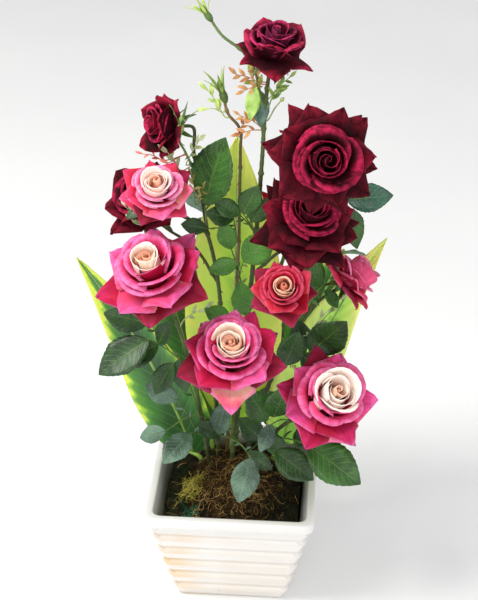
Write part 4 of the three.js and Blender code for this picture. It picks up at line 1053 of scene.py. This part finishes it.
# Tones dealt by spray, partly the cloth's own greens and partly painted light: the "dark" tone carries
# painted shade for sprays deep in shadow, and the "sheen" tone a painted grey-green sheen.
LEAF_TONES = {
    "dark": ("#142e12", "#28501c", "#587e54", "#6c9448"),
    "mid": ("#183c10", "#32641e", "#628c50", "#86b054"),
    "bright": ("#2c6418", "#4c8c28", "#90b45c", "#a8cc68"),
    "sheen": ("#2e4836", "#66866e", "#8ca894", "#a8c0ae"),
    "teal": ("#183c2a", "#2c5c44", "#64907a", "#80ac94"),
}
TONE_OF_SPRAY = ["mid", "teal", "dark", "bright", "dark", "mid", "dark", "sheen", "sheen", "dark",
                 "mid", "mid", "bright", "dark", "mid", "mid", "dark", "bright", "teal"]


def seeded(seed):
    state = seed * 2654435761 % 2 ** 32
    while True:
        state = (state * 1664525 + 1013904223) % 2 ** 32
        yield state / 2 ** 32


def twig_path(start, end):
    start, end = floats(start, end)
    middle = (start + end) / 2 + np.array([0, 0, TWIG_ARCH * np.linalg.norm(end - start)])
    t = np.linspace(0, 1, 200)[:, None]
    return evenly((1 - t) ** 2 * start + 2 * t * (1 - t) * middle + t ** 2 * end, 101)


def leaf_face(at):
    outward = unit((at[0], at[1] - 20, 0)) * 0.4
    return unit(outward + np.array([0, 0.4 if at[1] > 50 else -0.6, 0.6]))


def corners_of(node):
    solid = bpy.data.objects[node]
    corners = np.zeros(len(solid.data.vertices) * 3)
    solid.data.vertices.foreach_get("co", corners)
    turn = np.array(solid.matrix_world)
    return (corners.reshape(-1, 3) @ turn[:3, :3].T + turn[:3, 3]) / MM


def nearest(corners, point):
    gaps = np.linalg.norm(corners - point, axis=1)
    return float(gaps.min()), corners[int(gaps.argmin())]


def grown_tip(corners, root, wanted):
    found = [nearest(corners, root + (wanted - root) * share) for share in LEAF_TRIES]
    gap, tip = min(found, key=lambda pair: pair[0])
    return tip if gap < 3.2 else None


def twig_tube(path, thick, thin, count):
    return tube(evenly(path, count) * MM, np.linspace(thick, thin, count) * MM, 6)


def toothed_leaf(root, tip, face, lift, width):
    length, face = np.linalg.norm(tip - root), np.array(face, float)
    points, along, across = blade_sheet(root, tip, face * length * lift, face, length * width, 0.46,
                                        rows=36, columns=6, teeth=(12, 0.06), ruffle=length * 0.016,
                                        quilt=length * 0.005, veins=6)
    rib = midrib(points, reaches=0.9, thick=0.5, thin=0.12, count=12, sides=5)
    return closed_petal(points * MM, along, across, LEAF_SHEET * MM), rib


def spray_leaves(index, limb, pairs, face, ends):
    corners = corners_of("leaf_spray_%02d" % (index + 1))
    random_draws = seeded(index + 1)
    near_limb = np.array([nearest(cane_paths[limb], corner)[0] for corner in corners])
    start = corners[np.argsort(near_limb)[:3]].mean(axis=0)
    ends = [floats(*end) for end in ends]
    shoot = twig_path(start, ends[0][0])
    twigs = [(np.concatenate([[nearest(cane_paths[limb], start)[1]], shoot]), 1.0)]
    leaves = []

    def end_leaf(path, root, tip):
        lift = 0.03 + 0.05 * next(random_draws)
        leaves.append((path[END_LEAF_AT], tip, unit(face) if face else leaf_face(root), lift))

    end_leaf(shoot, *ends[0])
    for root, tip in ends[1:]:
        if nearest(corners, root)[0] < 2.0:
            fork = twig_path(shoot[50], root)
            twigs.append((fork, 0.8))
            end_leaf(fork, root, tip)
    way_up = unit(face) if face else leaf_face(ends[0][0])
    end_length = np.linalg.norm(ends[0][1] - ends[0][0])
    for pair in range(pairs):
        at = round((1 - (pair + 1) / TWIG_STEPS) * 100)
        foot, along = shoot[at], unit(shoot[at + 1] - shoot[at - 1])
        normal = unit(way_up - along * way_up.dot(along))
        for side in (-1, 1):
            swing = math.radians(52 + 16 * next(random_draws)) * side
            swung = np.array(Quaternion(Vector(normal), swing) @ Vector(along))
            way = unit(swung + normal * 0.25 * (next(random_draws) - 0.5))
            length = end_length * (0.72 + 0.16 * next(random_draws) - 0.08 * pair)
            leaves.append((foot, foot + way * length, way_up, 0.03 + 0.05 * next(random_draws)))
    placed = [(root, grown_tip(corners, root, tip), side, lift) for root, tip, side, lift in leaves]
    return twigs, [leaf for leaf in placed if leaf[1] is not None]


leaf_cloth, given = shared_effect("leaf_cloth", LEAF_DYES, {"Underside": 0.75, "Vein Strength": 0.2})
body = use_effect(leaf_cloth, mottle, mottle_values(given("Low"), given("High"), 55.0, 900.0))("Colour")
under = read_field(leaf_cloth, "underside") * given("Underside")
pressed = use_effect(leaf_cloth, leaf_veins, {"Veins": 9.0, "Slant": 2.5})
lines = calc("MAXIMUM", grade(pressed("Stripe"), 0.1, 0.0), grade(pressed("Away"), 0.06, 0.02))
# Pale flecks: partly the cloth's speckle and partly painted glints of its gloss.
fleck = grade(spots(leaf_cloth, 700.0, 3.0), 0.52, 0.68)
body = between(calc("MAXIMUM", lines, fleck) * given("Vein Strength"), body, given("Vein"))
put(leaf_cloth, "NodeGroupOutput", {"Colour": between(under, body, given("Back")),
                                    "Height": grade(pressed("Stripe"), 0.0, 0.22)})
leaf_finishes = {
    tone: effect_finish("rose_leaf_" + tone, leaf_cloth, dict(zip(LEAF_DYES, dyes)), rough=0.42,
                        relief=0.00025, strength=0.45)
    for tone, dyes in LEAF_TONES.items()}
twig_green = plastic_green("twig_green", "#35521e", "#6c8a3c")


def leaf_bunch(name, tone, grown, wood, replaced=None):
    undersides = np.concatenate([fields["underside"] for _, _, fields, _ in grown])
    looks = dict(fields={"underside": undersides}, uv=np.concatenate([leaf[3] for leaf in grown]))
    blades = [leaf[:2] for leaf in grown]
    hand_parts(name + "_leaves", blades, [leaf_finishes[tone]], "rose_leaf", replaced, **looks)
    hand_parts(name + "_twigs", wood, [twig_green], "cane")


for index, (limb, pairs, face, ends) in enumerate(SPRAYS):
    draw = np.random.default_rng(500 + index)
    twigs, leaves = spray_leaves(index, limb, pairs, face, ends)
    wood = [twig_tube(path, 0.9 * size, 0.55 * size, 14) for path, size in twigs]
    grown = []
    for root, tip, way_up, lift in leaves:
        leaf, rib = toothed_leaf(root, tip, way_up, lift, 0.64)
        grown.append(leaf)
        wood.append(rib)
    for path, size in twigs:
        for at in (38, 68):
            along = unit(path[at + 1] - path[at - 1])
            out = unit(np.cross(along, draw.normal(size=3)))
            tip = path[at] + (out + along * 0.6) * draw.uniform(5, 9) * size
            grown.append(toothed_leaf(path[at], tip, unit(np.cross(along, out)), 0.05, 0.4)[0])
    name = "leaf_spray_%02d" % (index + 1)
    leaf_bunch(name, TONE_OF_SPRAY[index], grown, wood, name)


# Sprigs: young shoots of moulded plastic clipped to the canes between the flowers, each a thin bent wire
# with slim leaflets along it, in six dyes, and four bare shoots that end in a closed hip.
# The two dyes, width and length of a leaflet, then each shoot's root, tip and number of leaflets.
SPRIGS = {
    "lime_sprigs": ("#98b850", "#d8e88c", 0.34, 11.0, [
        ((-8, 18, 449), (-22, 14, 474), 4), ((22, 10, 470), (12, 6, 492), 3),
        ((-11, 15, 455), (-22, 12, 459), 2)]),
    "tan_sprigs": ("#b4703c", "#e0ac74", 0.36, 8.5, [
        ((22, 8, 483), (2, 0, 494), 5), ((22, 8, 481), (8, -4, 482), 4), ((22, 8, 485), (12, 0, 503), 4),
        ((22, 11, 444), (4, 8, 456), 5), ((22, 11, 442), (5, 8, 440), 4), ((2, 18, 436), (9, 8, 450), 3)]),
    "olive_sprigs": ("#62622a", "#a89c58", 0.32, 8.0, [
        ((-32, 6, 375), (-34, 0, 404), 6), ((-30, 6, 378), (-25, -4, 396), 4)]),
    "pale_sprigs": ("#9cb070", "#dce4b4", 0.36, 10.0, [
        ((-40, 10, 409), (-28, 2, 436), 5), ((-44, 8, 405), (-54, 2, 424), 4),
        ((-78, -8, 362), (-87, -18, 384), 4),
        ((60, 0, 255), (90, -10, 299), 5), ((-44, -4, 268), (-24, -14, 288), 4)]),
    "coral_sprigs": ("#cc5440", "#ee9078", 0.34, 7.0, [
        ((-58, 8, 414), (-74, -2, 424), 5), ((-60, 0, 412), (-70, -6, 410), 4)]),
    "young_green_sprigs": ("#4c7028", "#a4c05c", 0.34, 9.5, [
        ((26, 8, 462), (34, -2, 484), 4), ((26, 8, 470), (44, -2, 494), 4)]),
}
HIP_SHOOTS = [((26, 8, 452), (38, 0, 474)), ((45, -12, 205), (50, -28, 225)),
              ((50, -20, 236), (53, -30, 243)),
              ((65, -2, 256), (84, -8, 288))]
whole_canes = np.concatenate([evenly(path, 200) for path in cane_paths.values()])


def clip_for(root):
    return nearest(whole_canes, root)[1]


def clipped_shoot(root, tip):
    root, tip = floats(root, tip)
    return evenly(bend_through([clip_for(root), root, (root + tip) / 2 + np.array([0, 0, 1.5]), tip]), 60)


for order, (name, (low, high, slim, leaflet, shoots)) in enumerate(SPRIGS.items()):
    draw = np.random.default_rng(70 + order)
    parts = []
    for root, tip, count in shoots:
        path = clipped_shoot(root, tip)
        parts.append(twig_tube(path, 0.6, 0.3, 16))
        for k in range(count):
            at = round(59 * (0.45 + 0.55 * k / max(count - 1, 1)))
            along = unit(path[min(at + 1, 59)] - path[at - 1])
            face_way = leaf_face(path[at])
            sideways = unit(np.cross(face_way, along)) * (1 if k % 2 else -1)
            spread = 0.25 if k == count - 1 else draw.uniform(0.6, 1.1)
            way = unit(along + sideways * spread + draw.normal(0, 0.2, 3))
            end = path[at] + way * leaflet * draw.uniform(0.75, 1.2)
            leaf, rib = toothed_leaf(path[at], end, face_way, draw.uniform(0.02, 0.14), slim)
            parts += [leaf[:2], rib]
    hand_parts(name, parts, [plastic_green(name + "_plastic", low, high)], "rose_leaf")
parts = []
for root, tip in HIP_SHOOTS:
    path = clipped_shoot(root, tip)
    way = unit(path[-1] - path[-3])
    knob = path[-1] + way * np.array([[-2.5], [-1.2], [0.3], [1.8], [3.2]])
    hip = tube(knob * MM, np.array([0.5, 1.5, 1.8, 1.1, 0.2]) * MM, 8)
    parts += [twig_tube(path, 0.75, 0.45, 16), hip]
hand_parts("hip_shoots", parts, [plastic_green("hip_shoot_green", "#6c8238", "#b4c07a")], "cane")


# Upper leaves: one folded lime leaf and one grey-green leaf that hang on the tall cane below its rose;
# the grey of the second is partly its own dye and partly painted sheen.
# Root and tip, the two dyes, width as a share of length.
HANGING_LEAVES = {
    "lime_hanging_leaf": (((16, 4, 484), (13, -2, 456)), "#98c450", "#ccea88", 0.42),
    "grey_hanging_leaf": (((20, 12, 476), (21, 6, 447)), "#3c5c4c", "#6c8c7c", 0.5),
}
for name, (ends, low, high, wide) in HANGING_LEAVES.items():
    root, tip = floats(*ends)
    leaf, rib = toothed_leaf(root, tip, (0.1, -0.9, 0.35), 0.08, wide)
    stalk = tube(evenly(np.array([clip_for(root), root]), 5) * MM, np.full(5, 0.6) * MM, 6)
    cloth = plastic_green(name + "_cloth", low, high, 0.4)
    hand_parts(name, [leaf[:2], rib, stalk], [cloth], "rose_leaf")


# Low leaves: single leaves of the same cloth on short stalks, clipped to the canes just above the moss,
# a few higher up and one behind the dark rose on the right. The dark ones are painted shade, dark
# sheets that fill the shaded gaps low among the canes.
# Root and tip of each.
SINGLE_LEAVES = {
    "dark": [((24.8, 0, 142.8), (3.7, -8, 171.6)), ((47.3, -20, 145.5), (26.2, -26, 166.2)),
             ((13.5, -18, 142), (36, -34, 136)), ((55.2, 10, 130.4), (74.4, 6, 165.4)),
             ((-10, 14, 138), (-36, 8, 152))],
    "sheen": [((35, -30, 182.5), (25.6, -44, 162.2)), ((-60.7, -10, 155.4), (-85.3, -4, 142))],
    "mid": [((91.6, 22, 369.8), (102.3, 16, 333.6)), ((-68, -12, 386.6), (-85.9, -22, 374.6)),
            ((14, 20, 150), (32, 40, 176))],
}
for tone, places in SINGLE_LEAVES.items():
    grown, wood = [], []
    for ends in places:
        root, tip = floats(*ends)
        clip = clip_for(root)
        leaf, rib = toothed_leaf(root, tip, leaf_face(root), 0.06, 0.6)
        grown.append(leaf)
        stalk = evenly(bend_through([clip, (clip + root) / 2 + np.array([0, 0, 3.0]), root]), 30)
        wood += [twig_tube(stalk, 0.8, 0.55, 10), rib]
    leaf_bunch("single_" + tone, tone, grown, wood)


# Floor, backdrop and light: a pale cloth floor, a bright even sky and a broad window light from the
# upper left front. The camera looks down at the arrangement from 0.95 m above the floor.
def stand(thing, place=(0, 0, 0), turn=(0, 0, 0)):
    item = bpy.data.objects.new(thing.name, thing)
    item.location, item.rotation_euler = place, turn
    scene.collection.objects.link(item)
    return item


cloth = bmesh.new()
bmesh.ops.create_grid(cloth, x_segments=2, y_segments=2, size=4.0)
cloth_mesh = bpy.data.meshes.new("table_cloth")
cloth.to_mesh(cloth_mesh)
cloth.free()
floor_finish = blank_finish("table_cloth")
weave = ramp(spots(floor_finish.node_tree, 3.0, 2.0), (0.3, "#f2f2f2"), (0.7, "#f7f7f6"))
cloth_mesh.materials.append(surface(floor_finish, weave, 0.9, 0.1))
stand(cloth_mesh)

SKY_COLOUR, SKY_STRENGTH = (0.985, 0.99, 1.0, 1.0), 0.71
sky = bpy.data.worlds.new("soft_sky")
sky.use_nodes = True
sky.node_tree.nodes["Background"].inputs["Color"].default_value = SKY_COLOUR
sky.node_tree.nodes["Background"].inputs["Strength"].default_value = SKY_STRENGTH
scene.world = sky

# Place, what it points at, size, power, colour.
LIGHTS = {
    "window": ((-0.75, -0.35, 1.5), (0, 0, 0.3), (0.6, 0.6), 18.0, (1.0, 0.985, 0.96)),
    "fill_front": ((-0.1, -1.9, 0.75), (0, 0, 0.3), (1.2, 0.9), 9.0, (1.0, 1.0, 1.0)),
    "fill_right": ((1.2, -0.7, 0.8), (0, 0, 0.2), (0.6, 0.6), 3.0, (0.96, 0.98, 1.0)),
}
for name, (place, target, size, power, colour) in LIGHTS.items():
    lamp = bpy.data.lights.new(name, "AREA")
    lamp.shape, lamp.energy, lamp.color = "RECTANGLE", power, colour
    lamp.size, lamp.size_y = size
    stand(lamp, place, (Vector(target) - Vector(place)).to_track_quat("-Z", "Y").to_euler())

CAMERA_PLACE, CAMERA_TILT, CAMERA_PAN = (0.08533, -1.09168, 0.945), 59.06, 4.26
lens = bpy.data.cameras.new("front_camera")
lens.sensor_fit, lens.sensor_height, lens.lens = "VERTICAL", 24.0, 60.0
scene.camera = stand(lens, CAMERA_PLACE, (math.radians(CAMERA_TILT), 0.0, math.radians(CAMERA_PAN)))
